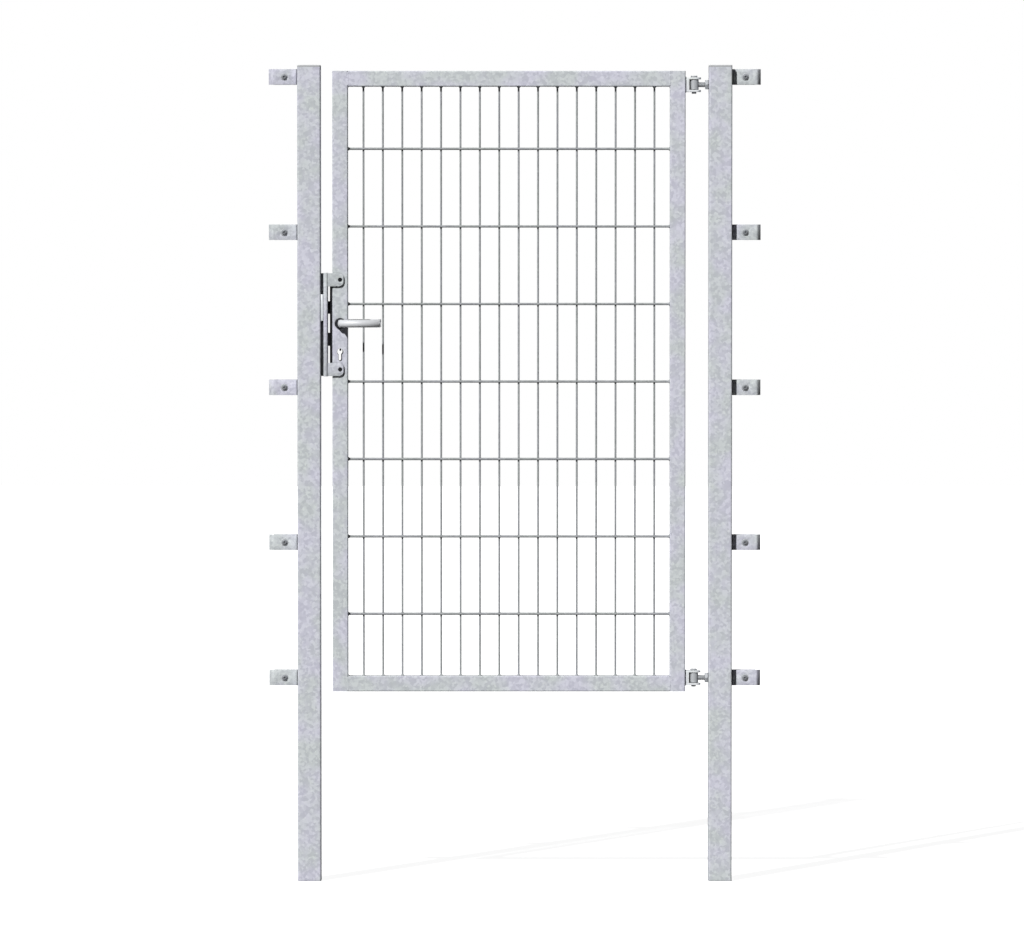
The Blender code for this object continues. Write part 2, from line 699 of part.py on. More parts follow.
def make_lock_nut(name, height):
    """The hexagon nut that locks the shank against the post."""
    outlines = [circle(LOCK_NUT_FLATS / math.sqrt(3), 6, turn=90.0),
                circle(SHANK_SIZE / 2 + SEAT_GAP, 20)]
    return plate(name, outlines, LOCK_NUT_THICKNESS, ALONG_X,
                 (POST_FACE_X - SEAT_GAP - LOCK_NUT_THICKNESS / 2, MID_Y, height), ZINC)


hinge_pieces = []
for place, hinge_height in HINGE_HEIGHTS.items():
    hinge_pieces.append(make_clevis(f"clevis_{place}", hinge_height))
    hinge_pieces.append(make_hinge_pin(f"hinge_pin_{place}", hinge_height))
    make_eye_bolt(f"eye_bolt_{place}", hinge_height)
    make_lock_nut(f"lock_nut_{place}", hinge_height)


# Lock in the latch stile

def cylinder_cutter(depth):
    """The keyhole of a profile cylinder: a round hole over a slot with a round foot."""
    radius = CYLINDER_ROUND / 2
    slot = CYLINDER_SLOT / 2
    meet = math.degrees(math.asin(slot / radius))
    foot = CYLINDER_ROUND / 2 - CYLINDER_TOTAL + slot
    outline = arc((0, 0), radius, -90.0 + meet, 270.0 - meet, 16)
    outline += arc((0, foot), slot, 180.0, 360.0, 6)
    return plate("keyhole", [outline], depth, ALONG_Y, (LEVER_X, MID_Y, CYLINDER_Z))


def pocket(height, size_y, size_z, tail):
    """The guide that a bolt slides in, through the forend and into the case."""
    return block("pocket", (FOREND_FACE_X - WELD_DEPTH, MID_Y - size_y / 2 - SEAT_GAP,
                            height - size_z / 2 - SEAT_GAP),
                 (FOREND_FACE_X + tail, MID_Y + size_y / 2 + SEAT_GAP,
                  height + size_z / 2 + SEAT_GAP))


def make_lock_case():
    """The forend on the edge of the stile, one with the case that stands in the tube."""
    forend_low = LEVER_HEIGHT - FOREND_BELOW
    forend_high = LEVER_HEIGHT + FOREND_ABOVE
    outline = rounded_box((-FOREND_WIDTH / 2, forend_low), (FOREND_WIDTH / 2, forend_high),
                          (FOREND_WIDTH / 8,) * 4)
    case = plate("lock_case", [outline], FOREND_THICKNESS, ALONG_X,
                 (FOREND_FACE_X + FOREND_THICKNESS / 2, MID_Y, 0), DARK_STEEL)
    body = block("case", (LEAF_LEFT - SEAT_GAP - WELD_DEPTH, MID_Y - CASE_THICKNESS / 2,
                          LEVER_HEIGHT - CASE_BELOW),
                 (LEAF_LEFT + CASE_DEPTH, MID_Y + CASE_THICKNESS / 2, LEVER_HEIGHT + CASE_ABOVE))
    weld(case, body)
    latch_pocket = LATCH_TAIL + LATCH_THROW + POCKET_END_SPACE
    bolt_pocket = BOLT_TAIL + BOLT_THROW + POCKET_END_SPACE
    cut(case, pocket(LATCH_Z, LATCH_THICKNESS, LATCH_HEIGHT, latch_pocket),
        pocket(BOLT_Z, BOLT_THICKNESS, BOLT_HEIGHT, bolt_pocket),
        cylinder_cutter(FRAME_TUBE), spindle_hole(SPINDLE_HOLE / 2))
    return case


def spindle_hole(radius):
    """A round hole through the leaf on the lever's axis."""
    return cylinder("hole", radius, (LEVER_X, LEAF_FRONT - WELD_DEPTH, LEVER_HEIGHT),
                    (LEVER_X, LEAF_REAR + WELD_DEPTH, LEVER_HEIGHT), 16)


def cut_stile_for_lock():
    """The slot for the case in the stile's edge, and the keyhole and lever holes in its faces."""
    slot = block("slot", (LEAF_LEFT - WELD_DEPTH, MID_Y - CASE_THICKNESS / 2 - SEAT_GAP,
                          LEVER_HEIGHT - CASE_BELOW - SEAT_GAP),
                 (LEAF_LEFT + FRAME_WALL + WELD_DEPTH, MID_Y + CASE_THICKNESS / 2 + SEAT_GAP,
                  LEVER_HEIGHT + CASE_ABOVE + SEAT_GAP))
    cut(latch_stile, slot, cylinder_cutter(FRAME_TUBE + 2 * WELD_DEPTH),
        spindle_hole(SPINDLE_HOLE / 2))


def make_latch():
    """A spring latch whose bevel faces the side that meets the strike as the gate shuts."""
    half = LATCH_THICKNESS / 2
    tip = FOREND_FACE_X - LATCH_THROW
    outline = [(FOREND_FACE_X + LATCH_TAIL, -half), (FOREND_FACE_X + LATCH_TAIL, half), (tip, half),
               (tip, half - LATCH_THICKNESS / 5), (tip + LATCH_BEVEL, -half)]
    return plate("latch_bolt", [outline], LATCH_HEIGHT, ALONG_Z, (0, MID_Y, LATCH_Z), DARK_STEEL)


def make_dead_bolt():
    """A square bolt with a small chamfer on its nose."""
    half = BOLT_THICKNESS / 2
    tip = FOREND_FACE_X - BOLT_THROW
    tail = FOREND_FACE_X + BOLT_TAIL
    outline = [(tail, -half), (tail, half), (tip + BOLT_CHAMFER, half), (tip, half - BOLT_CHAMFER),
               (tip, BOLT_CHAMFER - half), (tip + BOLT_CHAMFER, -half)]
    return plate("dead_bolt", [outline], BOLT_HEIGHT, ALONG_Z, (0, MID_Y, BOLT_Z), DARK_STEEL)


lock_case = make_lock_case()
cut_stile_for_lock()
latch_bolt = make_latch()
dead_bolt = make_dead_bolt()


# Lever handles on round rosettes

def make_rosette(name, face_y, outward):
    """A black ring around the lever's neck, on the face of the stile."""
    outer = ROSETTE_SIZE / 2
    inner = LEVER_NECK_BASE / 2 + SEAT_GAP
    rise = SEAT_GAP + ROSETTE_HEIGHT
    profile = [(inner, rise), (outer - ROSETTE_CHAMFER, rise), (outer, rise - ROSETTE_CHAMFER),
               (outer, SEAT_GAP), (inner, SEAT_GAP), (inner, rise)]
    facing = ALONG_Y if outward < 0 else ALONG_Y @ Matrix.Rotation(math.pi, 4, "X")
    return turned(name, profile, 24, facing, (LEVER_X, face_y, LEVER_HEIGHT), BLACK_PLASTIC)


def lever_path():
    """The lever's centre line and thickness, as (along the grip, away from the stile, diameter).

    The neck comes straight out and swells through a tight bend into the grip, which is bowed
    outward and comes back toward the stile at its free end.
    """
    start = math.radians(LEVER_BOW_START)
    bow_x = LEVER_BEND * (1 - math.sin(start))
    bow_out = LEVER_PROJECTION - LEVER_GRIP / 2 - LEVER_BOW * (1 - math.cos(start))
    neck_end = bow_out - LEVER_BEND * math.cos(start)
    path = [(0, SEAT_GAP, LEVER_NECK_BASE), (0, ROSETTE_HEIGHT, LEVER_NECK_BASE),
            (0, 2 * ROSETTE_HEIGHT, LEVER_NECK)]
    bend_steps = 5
    for step in range(bend_steps + 1):
        turn = (math.pi / 2 - start) * step / bend_steps
        swell = math.sqrt(step / bend_steps)
        path.append((LEVER_BEND * (1 - math.cos(turn)), neck_end + LEVER_BEND * math.sin(turn),
                     LEVER_NECK + (LEVER_GRIP - LEVER_NECK) * swell))
    finish = math.asin(math.sin(start) - (LEVER_LENGTH + LEVER_GRIP - bow_x) / LEVER_BOW)
    bow_steps = 7
    for step in range(1, bow_steps + 1):
        slope = start + (finish - start) * step / bow_steps
        path.append((bow_x + LEVER_BOW * (math.sin(start) - math.sin(slope)),
                     bow_out + LEVER_BOW * (math.cos(slope) - math.cos(start)), LEVER_GRIP))
    return path


def make_lever(name, face_y, outward):
    """A lever swept along its centre line, with its free end cut off square to the leaf."""
    path = lever_path()
    curve = bpy.data.curves.new(name, "CURVE")
    curve.dimensions = "3D"
    curve.bevel_depth = 1.0
    curve.bevel_resolution = 3
    curve.use_fill_caps = True
    spline = curve.splines.new("POLY")
    spline.points.add(len(path) - 1)
    for point, (x, away, diameter) in zip(spline.points, path):
        point.co = (x, outward * away, 0, 1)
        point.radius = diameter / 2
    lever = mesh_from_curve(curve, name, Matrix.Identity(4), (LEVER_X, face_y, LEVER_HEIGHT),
                            ALUMINIUM)
    reach = 2 * (LEVER_PROJECTION + LEVER_GRIP)
    free_end = LEVER_X + LEVER_LENGTH
    cut(lever, block("beyond_the_end", (free_end, face_y - reach, LEVER_HEIGHT - LEVER_GRIP),
                     (free_end + reach, face_y + reach, LEVER_HEIGHT + LEVER_GRIP)))
    return lever


def spindle_block(name, size, start_y, end_y):
    """A square bar on the lever's axis."""
    return block(name, (LEVER_X - size / 2, start_y, LEVER_HEIGHT - size / 2),
                 (LEVER_X + size / 2, end_y, LEVER_HEIGHT + size / 2))


rosette_front = make_rosette("rosette_front", LEAF_FRONT, -1)
rosette_back = make_rosette("rosette_back", LEAF_REAR, 1)
lever_front = make_lever("lever_front", LEAF_FRONT, -1)
lever_back = make_lever("lever_back", LEAF_REAR, 1)
spindle_start = LEAF_FRONT - SPINDLE_INSERTION
spindle_end = LEAF_REAR + SEAT_GAP + SPINDLE_INSERTION
weld(lever_front, spindle_block("spindle", SPINDLE_SIZE, spindle_start, spindle_end))
cut(lever_back, spindle_block("socket", SPINDLE_SIZE + 2 * SEAT_GAP, LEAF_REAR,
                              spindle_end + SEAT_GAP))


# Strike on the latch post, with its stop tabs, buffers and insert

def make_strike():
    """A folded box on a base plate, with windows for the bolts and a stop tab at each end."""
    box_left = STRIKE_BASE_X
    box_right = STRIKE_BASE_X + STRIKE_BOX_WIDTH
    outer = rounded_box((box_left, STRIKE_BOX_FRONT), (box_right, STRIKE_BOX_REAR),
                        (STRIKE_CORNER, STRIKE_BEND, STRIKE_BEND, STRIKE_CORNER), 4)
    inner_bend = STRIKE_BEND - STRIKE_WALL
    inner = rounded_box((box_left + STRIKE_WALL, STRIKE_BOX_FRONT + STRIKE_WALL),
                        (box_right - STRIKE_WALL, STRIKE_BOX_REAR - STRIKE_WALL),
                        (0, inner_bend, inner_bend, 0), 2)
    strike = plate("strike", [outer, inner], STRIKE_HEIGHT, ALONG_Z, (0, 0, STRIKE_Z), GALVANISED)
    base_half = STRIKE_HEIGHT / 2 - WELD_DEPTH
    base = block("base", (LATCH_POST_FACE_X + SEAT_GAP, STRIKE_BASE_FRONT, STRIKE_Z - base_half),
                 (box_left + WELD_DEPTH, STRIKE_BASE_REAR, STRIKE_Z + base_half))
    weld(strike, base)
    for height in tab_heights():
        weld(strike, make_tab(box_left, height))
    window_y = max(LATCH_THICKNESS, BOLT_THICKNESS) / 2 + WINDOW_CLEARANCE
    for height, size, reach in ((LATCH_Z, LATCH_HEIGHT, STRIKE_WALL + WELD_DEPTH),
                                (BOLT_Z, BOLT_HEIGHT, STRIKE_BOX_WIDTH + WELD_DEPTH)):
        half = size / 2 + WINDOW_CLEARANCE
        cut(strike, block("window", (box_right - reach, MID_Y - window_y, height - half),
                          (box_right + WELD_DEPTH, MID_Y + window_y, height + half)))
    return strike


def tab_heights():
    """The stop tabs end just inside the ends of the strike box."""
    reach = (STRIKE_HEIGHT - TAB_HEIGHT) / 2 - TAB_END_SPACE
    return (STRIKE_Z + reach, STRIKE_Z - reach)


def buffer_x():
    """The buffers stand near the rounded ends of the tabs."""
    return LEAF_LEFT + TAB_OVER_STILE - BUFFER_FROM_TAB_END


def make_tab(box_left, height):
    """A flat tab in front of the latch stile, with a hole for its buffer."""
    outline = rounded_box((box_left + STRIKE_WALL / 2, -TAB_HEIGHT / 2),
                          (LEAF_LEFT + TAB_OVER_STILE, TAB_HEIGHT / 2),
                          (0, TAB_CORNER, TAB_CORNER, 0), 4)
    hole = circle(BUFFER_STEM / 2 + SEAT_GAP, 16, (buffer_x(), 0))
    return plate("tab", [outline, hole], TAB_THICKNESS, ALONG_Y,
                 (0, TAB_FRONT + TAB_THICKNESS / 2, height))


def make_buffer(name, height):
    """A rubber button: a stem through the tab and a head that cushions the stile."""
    stem_front = BUFFER_PROUD
    head_front = -TAB_THICKNESS - SEAT_GAP
    head_rear = TAB_FRONT - LEAF_FRONT + SEAT_GAP
    chamfer = BUFFER_PROUD
    profile = [(0, stem_front), (BUFFER_STEM / 2 - chamfer, stem_front), (BUFFER_STEM / 2, 0),
               (BUFFER_STEM / 2, head_front), (BUFFER_HEAD / 2, head_front),
               (BUFFER_HEAD / 2, head_rear), (0, head_rear)]
    return turned(name, profile, 16, ALONG_Y, (buffer_x(), TAB_FRONT, height), RUBBER)


def make_keeper_insert():
    """A pale strip between the post and the strike box, in front of the base plate."""
    left = LATCH_POST_FACE_X + SEAT_GAP
    right = STRIKE_BASE_X - SEAT_GAP
    outline = rounded_box((left, INSERT_FRONT), (right, STRIKE_BASE_FRONT - SEAT_GAP),
                          (INSERT_CORNER, INSERT_CORNER, 0, 0), 2)
    return plate("keeper_insert", [outline], INSERT_HEIGHT, ALONG_Z, (0, 0, LATCH_Z), STAINLESS)


make_strike()
for place, tab_height in zip(("top", "bottom"), tab_heights()):
    make_buffer(f"buffer_{place}", tab_height)
make_keeper_insert()


# What moves with what

hang_on(gate_pivot, gate_axis, latch_stile, hinge_stile, top_rail, bottom_rail, mesh_infill,
        lock_case, rosette_front, rosette_back, *hinge_pieces)
hang_on(lever_pivot, lever_axis, lever_front, lever_back)
hang_on(latch_guide, latch_origin, latch_bolt)
hang_on(bolt_guide, bolt_origin, dead_bolt)
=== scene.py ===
"""Looks of the single leaf gate: hot-dip galvanised posts and leaf, double-rod mesh, eye bolt
hinges, fence clamps, lever handles and strike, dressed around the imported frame."""

import math

import bmesh
import bpy
from mathutils import Matrix, Vector


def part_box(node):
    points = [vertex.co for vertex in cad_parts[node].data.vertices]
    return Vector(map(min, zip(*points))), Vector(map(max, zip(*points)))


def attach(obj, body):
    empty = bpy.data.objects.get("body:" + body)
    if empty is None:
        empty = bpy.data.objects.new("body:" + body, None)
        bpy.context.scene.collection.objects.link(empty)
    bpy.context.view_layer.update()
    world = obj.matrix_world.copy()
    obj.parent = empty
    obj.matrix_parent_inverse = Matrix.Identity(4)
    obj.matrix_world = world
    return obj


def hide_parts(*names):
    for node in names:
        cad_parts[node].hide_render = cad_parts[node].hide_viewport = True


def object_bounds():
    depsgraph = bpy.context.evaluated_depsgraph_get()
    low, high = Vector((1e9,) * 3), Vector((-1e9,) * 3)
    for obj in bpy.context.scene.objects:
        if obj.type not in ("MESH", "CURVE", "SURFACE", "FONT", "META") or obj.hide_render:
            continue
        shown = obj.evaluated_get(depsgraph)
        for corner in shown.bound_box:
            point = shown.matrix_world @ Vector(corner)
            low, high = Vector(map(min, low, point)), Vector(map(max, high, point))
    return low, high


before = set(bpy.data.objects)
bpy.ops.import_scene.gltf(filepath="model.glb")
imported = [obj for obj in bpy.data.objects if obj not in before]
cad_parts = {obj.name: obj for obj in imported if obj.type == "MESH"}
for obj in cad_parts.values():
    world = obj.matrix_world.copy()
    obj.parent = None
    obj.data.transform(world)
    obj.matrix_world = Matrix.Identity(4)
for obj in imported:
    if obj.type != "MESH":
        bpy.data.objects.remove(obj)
cad_low, cad_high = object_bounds()


# Camera and light
# The photograph is taken square to the gate, from far away and a little above its middle. One small
# sun from the upper left front throws the crisp shadows, and a pale room fills them a little.

VIEW_DISTANCE = 17.0
VIEW_WIDTH = 2.638
VIEW_CENTRE = (-0.5371, 0.606)
VIEW_HEIGHT = 1.15
VIEW_REACH = 100.0
SENSOR = 36.0
SUN_TRAVEL = (0.58, 1.0, -0.80)
SUN_STRENGTH = 4.1
SUN_ANGLE = 1.2
ROOM_LIGHT = 0.02
FLOOR_SIZE = 60.0
FLOOR_GAP = 0.001
FLOOR_SHOWN = 0.94


def linear(hex_colour):
    """An sRGB hex colour as linear red, green, blue and full alpha."""
    shares = [int(hex_colour[place:place + 2], 16) / 255 for place in (0, 2, 4)]
    return (*[s / 12.92 if s <= 0.04045 else ((s + 0.055) / 1.055) ** 2.4 for s in shares], 1.0)


def add_node(tree, kind, settings=(), values=(), links=()):
    """Add one node with its settings, its inputs' values and the sockets that feed its inputs."""
    node = tree.nodes.new(kind)
    for name, value in dict(settings).items():
        setattr(node, name, value)
    for name, value in dict(values).items():
        node.inputs[name].default_value = value
    for name, socket in dict(links).items():
        tree.links.new(socket, node.inputs[name])
    return node


scene = bpy.context.scene
scene.view_settings.view_transform = "Standard"

camera_data = bpy.data.cameras.new("camera")
camera_data.sensor_width = SENSOR
camera_data.lens = SENSOR * VIEW_DISTANCE / VIEW_WIDTH
camera_data.clip_end = VIEW_REACH
camera = bpy.data.objects.new("camera", camera_data)
camera.location = (VIEW_CENTRE[0], -VIEW_DISTANCE, VIEW_HEIGHT)
view_tilt = math.atan((VIEW_HEIGHT - VIEW_CENTRE[1]) / VIEW_DISTANCE)
camera.rotation_euler = (math.pi / 2 - view_tilt, 0, 0)
scene.collection.objects.link(camera)
scene.camera = camera

sun_data = bpy.data.lights.new("sun", "SUN")
sun_data.energy = SUN_STRENGTH
sun_data.angle = math.radians(SUN_ANGLE)
sun = bpy.data.objects.new("sun", sun_data)
sun.rotation_euler = Vector(SUN_TRAVEL).to_track_quat("-Z", "Y").to_euler()
scene.collection.objects.link(sun)


def seen_directly(tree):
    """One for the rays that show the surface: to the camera, in gloss and through glass."""
    path = add_node(tree, "ShaderNodeLightPath")
    either = add_node(tree, "ShaderNodeMath", {"operation": "MAXIMUM"},
                      links={0: path.outputs["Is Camera Ray"], 1: path.outputs["Is Glossy Ray"]})
    return add_node(tree, "ShaderNodeMath", {"operation": "MAXIMUM"},
                    links={0: either.outputs[0], 1: path.outputs["Is Transmission Ray"]}).outputs[0]


world = bpy.data.worlds.new("pale_room")
scene.world = world
world.use_nodes = True
room_tree = world.node_tree
room_tree.nodes.clear()
room_light = add_node(room_tree, "ShaderNodeBackground",
                      values={"Color": linear("F2F5FF"), "Strength": ROOM_LIGHT})
room_shown = add_node(room_tree, "ShaderNodeBackground",
                      values={"Color": linear("FFFFFF"), "Strength": 1.0})
room_mix = add_node(room_tree, "ShaderNodeMixShader",
                    links={0: seen_directly(room_tree), 1: room_light.outputs[0],
                           2: room_shown.outputs[0]})
add_node(room_tree, "ShaderNodeOutputWorld", links={"Surface": room_mix.outputs[0]})

# The floor shows nearly white with a faint shadow, and gives little light back, because the
# photograph's shadows are deep.
floor_material = bpy.data.materials.new("pale_floor")
floor_material.use_nodes = True
floor_tree = floor_material.node_tree
floor_tree.nodes.clear()
floor_glow = add_node(floor_tree, "ShaderNodeEmission",
                      values={"Color": linear("FFFFFF"), "Strength": FLOOR_SHOWN})
floor_lit = add_node(floor_tree, "ShaderNodeBsdfDiffuse", values={"Color": linear("C0C0C0")})
floor_shown = add_node(floor_tree, "ShaderNodeAddShader",
                       links={0: floor_glow.outputs[0], 1: floor_lit.outputs[0]})
floor_returned = add_node(floor_tree, "ShaderNodeBsdfDiffuse", values={"Color": linear("484848")})
floor_mix = add_node(floor_tree, "ShaderNodeMixShader",
                     links={0: seen_directly(floor_tree), 1: floor_returned.outputs[0],
                            2: floor_shown.outputs[0]})
add_node(floor_tree, "ShaderNodeOutputMaterial", links={"Surface": floor_mix.outputs[0]})

floor_shape = bmesh.new()
bmesh.ops.create_grid(floor_shape, x_segments=1, y_segments=1, size=FLOOR_SIZE / 2)
floor_mesh = bpy.data.meshes.new("floor")
floor_shape.to_mesh(floor_mesh)
floor_shape.free()
floor_mesh.transform(Matrix.Translation((0, 0, cad_low.z - FLOOR_GAP)))
floor_mesh.materials.append(floor_material)
floor = bpy.data.objects.new("floor", floor_mesh)
scene.collection.objects.link(floor)


# Posts
# Square steel tube, hot-dip galvanised after welding. The zinc freezes in soft spangle: matt
# patches about 7 mm across in different greys, with faint lilac and greenish clouds over them.

SPANGLE_MM = 7.0
CLOUDS_MM = 80.0
FLECKS_MM = 5.0
GRAIN_MM = 1.6
MILLIMETRE = 0.001
EDGE_WAVE = 1.5
SPANGLE_BLUR = 0.35
TONE_STOPS = (0.15, 0.85)
FLECK_RARITY = (0.92, 0.96)
FLECK_STRENGTH = 0.4
VEIL_STOPS = (0.38, 0.62)
GRAIN_SHARE = 0.35
ZINC_RELIEF = 0.0004
ZINC_ROUGHNESS = 0.60
ZINC_METALLIC = 0.03
ZINC_SHEEN = 0.12
GLOSS_SPREAD = 0.08
# How far, how finely and how deep the painted shade in recesses reaches.
RECESS_SIZE = 0.012
RECESS_SAMPLES = 8
RECESS_STOPS = (0.2, 0.8)
RECESS_SHADE = 0.25


def per_metre(size_mm):
    """The texture scale at which one cell of a pattern is the size given."""
    return 1000.0 / size_mm


def painted_recess_shade(tree, colour):
    """The colour with painted shade: darkened by ambient occlusion in the recesses of the shape,
    where less light reaches.
    """
    hollow = add_node(tree, "ShaderNodeAmbientOcclusion", {"samples": RECESS_SAMPLES},
                      {"Distance": RECESS_SIZE})
    recess_shade_factor = add_node(tree, "ShaderNodeMapRange",
                     values={"From Min": RECESS_STOPS[0], "From Max": RECESS_STOPS[1],
                             "To Min": RECESS_SHADE, "To Max": 1.0},
                     links={"Value": hollow.outputs["AO"]})
    return add_node(tree, "ShaderNodeVectorMath", {"operation": "SCALE"},
                    links={0: colour, "Scale": recess_shade_factor.outputs[0]}).outputs[0]


def begun(name):
    """A new material, its node tree, and the place on the object that its patterns read."""
    material = bpy.data.materials.new(name)
    material.use_nodes = True
    tree = material.node_tree
    return material, tree, add_node(tree, "ShaderNodeTexCoord").outputs["Object"]


def finished(material, colour, relief, bump, depth, roughness, sheen, metallic=0.0, gloss=None,
             spread=GLOSS_SPREAD):
    """Give the material's shader its colour and relief, and a gloss that may follow a pattern.

    The room is plain, so a metal has little to mirror, and keeps most of its colour when lit.
    """
    tree = material.node_tree
    shader = tree.nodes["Principled BSDF"]
    raised = add_node(tree, "ShaderNodeBump", values={"Strength": bump, "Distance": depth},
                      links={"Height": relief})
    tree.links.new(colour, shader.inputs["Base Color"])
    tree.links.new(raised.outputs[0], shader.inputs["Normal"])
    shader.inputs["Roughness"].default_value = roughness
    if gloss is not None:
        varied = add_node(tree, "ShaderNodeMapRange",
                          values={"To Min": roughness - spread, "To Max": roughness + spread},
                          links={"Value": gloss})
        tree.links.new(varied.outputs[0], shader.inputs["Roughness"])
    shader.inputs["Metallic"].default_value = metallic
    shader.inputs["Specular IOR Level"].default_value = sheen
    return material


def galvanised(name, greys, veil, spangle_mm, bump):
    """Zinc on steel: spangle cells between two greys and a fleck, under clouds of a thin veil."""
    material, tree, place = begun(name)
    wave = add_node(tree, "ShaderNodeTexNoise", links={"Vector": place},
                    values={"Scale": per_metre(spangle_mm * EDGE_WAVE), "Detail": 2.0})
    push = add_node(tree, "ShaderNodeVectorMath", {"operation": "SCALE"},
                    {"Scale": MILLIMETRE * spangle_mm}, {0: wave.outputs["Color"]})
    bent = add_node(tree, "ShaderNodeVectorMath", links={0: place, 1: push.outputs[0]}).outputs[0]
    cells = add_node(tree, "ShaderNodeTexVoronoi", {"feature": "SMOOTH_F1"},
                     {"Scale": per_metre(spangle_mm), "Smoothness": SPANGLE_BLUR}, {"Vector": bent})
    shade = add_node(tree, "ShaderNodeSeparateColor", links={0: cells.outputs["Color"]})
    tone = add_node(tree, "ShaderNodeValToRGB", links={"Fac": shade.outputs[0]})
    for stop, position, grey in zip(tone.color_ramp.elements, TONE_STOPS, greys):
        stop.position = position
        stop.color = linear(grey)
    flecks = add_node(tree, "ShaderNodeTexVoronoi", values={"Scale": per_metre(FLECKS_MM)},
                      links={"Vector": bent})
    fleck_shade = add_node(tree, "ShaderNodeSeparateColor", links={0: flecks.outputs["Color"]})
    chosen = add_node(tree, "ShaderNodeMapRange",
                      values={"From Min": FLECK_RARITY[0], "From Max": FLECK_RARITY[1],
                              "To Max": FLECK_STRENGTH}, links={"Value": fleck_shade.outputs[1]})
    flecked = add_node(tree, "ShaderNodeMix", {"data_type": "RGBA"}, {7: linear(greys[2])},
                       {0: chosen.outputs[0], 6: tone.outputs["Color"]})
    cloud = add_node(tree, "ShaderNodeTexNoise", links={"Vector": place},
                     values={"Scale": per_metre(CLOUDS_MM), "Detail": 2.0})
    thickness = add_node(tree, "ShaderNodeMapRange", links={"Value": cloud.outputs["Fac"]},
                         values={"From Min": VEIL_STOPS[0], "From Max": VEIL_STOPS[1]})
    veiled = add_node(tree, "ShaderNodeMix", {"data_type": "RGBA", "blend_type": "MULTIPLY"},
                      {7: linear(veil)}, {0: thickness.outputs[0], 6: flecked.outputs[2]})
    grain = add_node(tree, "ShaderNodeTexNoise", links={"Vector": place},
                     values={"Scale": per_metre(GRAIN_MM), "Detail": 2.0})
    height = add_node(tree, "ShaderNodeMix", values={0: GRAIN_SHARE},
                      links={2: cells.outputs["Distance"], 3: grain.outputs["Fac"]})
    # The zinc's colour gets painted shade in its recesses.
    return finished(material, painted_recess_shade(tree, veiled.outputs[2]), height.outputs[0], bump,
                    ZINC_RELIEF, ZINC_ROUGHNESS, ZINC_SHEEN, ZINC_METALLIC, shade.outputs[1])


def dress(material, *nodes):
    """Give the material to nodes of the frame that keep their own shape."""
    for node in nodes:
        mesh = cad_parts[node].data
        mesh.materials.clear()
        mesh.materials.append(material)


# Thick zinc, slightly lilac, with greener clouds. Its skin of oxide is dull like a mineral, so it
# has next to nothing of a metal's mirror.
dipped_zinc = galvanised("hot_dip_galvanised_steel", ("BDBDCA", "D1D1DD", "DEDFE6"), "F9FFF2",
                         SPANGLE_MM, bump=0.35)
dress(dipped_zinc, "hinge_post", "latch_post")


# Post caps
# A lid moulded in grey polyethylene, flush with the post's sides, with a skirt that plugs the tube.

SEAT_GAP = 0.0003
MERGE_DISTANCE = 0.000002
SMOOTH_ANGLE = 32.0
POST_CORNER = 0.004
CAP_EDGE = 0.0014
CAP_SKIRT_INSET = 0.0023
CORNER_STEPS = 8
RIM_STEPS = 3
ROUND = 0.5
PLASTIC_CLOUDS_MM = 25.0
PLASTIC_SHADES = (0.86, 1.14)
PLASTIC_RELIEF = 0.0002


def to_mesh(shape, material, place=Matrix.Identity(4)):
    """Merge the doubles, turn every face outwards, and put the shape in its place as a mesh."""
    bmesh.ops.remove_doubles(shape, verts=shape.verts, dist=MERGE_DISTANCE)
    bmesh.ops.recalc_face_normals(shape, faces=shape.faces)
    bmesh.ops.transform(shape, matrix=place, verts=shape.verts)
    mesh = bpy.data.meshes.new("shape")
    shape.to_mesh(mesh)
    shape.free()
    mesh.materials.append(material)
    return mesh


def joined(*meshes):
    """One mesh of several, which share a material."""
    shape = bmesh.new()
    for mesh in meshes:
        shape.from_mesh(mesh)
    together = bpy.data.meshes.new("joined")
    shape.to_mesh(together)
    shape.free()
    together.materials.append(meshes[0].materials[0])
    return together


def add_piece(name, mesh, body, slot, *replaced):
    """Make an object of the mesh, which rides on a body and stands for the nodes it replaces."""
    mesh.name = name
    mesh.shade_smooth()
    mesh.set_sharp_from_angle(angle=math.radians(SMOOTH_ANGLE))
    piece = bpy.data.objects.new(name, mesh)
    scene.collection.objects.link(piece)
    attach(piece, body)
    if replaced:
        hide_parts(*replaced)


def rounded_outline(low, high, corner):
    """The outline of a box from low to high, with its corners rounded."""
    outline = []
    for number, (x, y) in enumerate(((high[0], high[1]), (low[0], high[1]), (low[0], low[1]),
                                     (high[0], low[1]))):
        centre_x = x - corner if x == high[0] else x + corner
        centre_y = y - corner if y == high[1] else y + corner
        for step in range(CORNER_STEPS + 1):
            angle = math.pi / 2 * (number + step / CORNER_STEPS)
            outline.append((centre_x + corner * math.cos(angle),
                            centre_y + corner * math.sin(angle)))
    return outline


def slab(outline, low, high, edge=0.0):
    """Raise an outline in the XY plane from low to high, with its upper rim rounded by the edge."""
    shape = bmesh.new()
    face = shape.faces.new([shape.verts.new((x, y, low)) for x, y in outline])
    raised = bmesh.ops.extrude_face_region(shape, geom=[face])["geom"]
    top = [part for part in raised if isinstance(part, bmesh.types.BMVert)]
    bmesh.ops.translate(shape, vec=(0, 0, high - low), verts=top)
    if edge:
        middle = (low + high) / 2
        rim = [side for side in shape.edges if min(vert.co.z for vert in side.verts) > middle]
        bmesh.ops.bevel(shape, geom=rim, offset=edge, segments=RIM_STEPS, profile=ROUND,
                        affect="EDGES")
    return shape


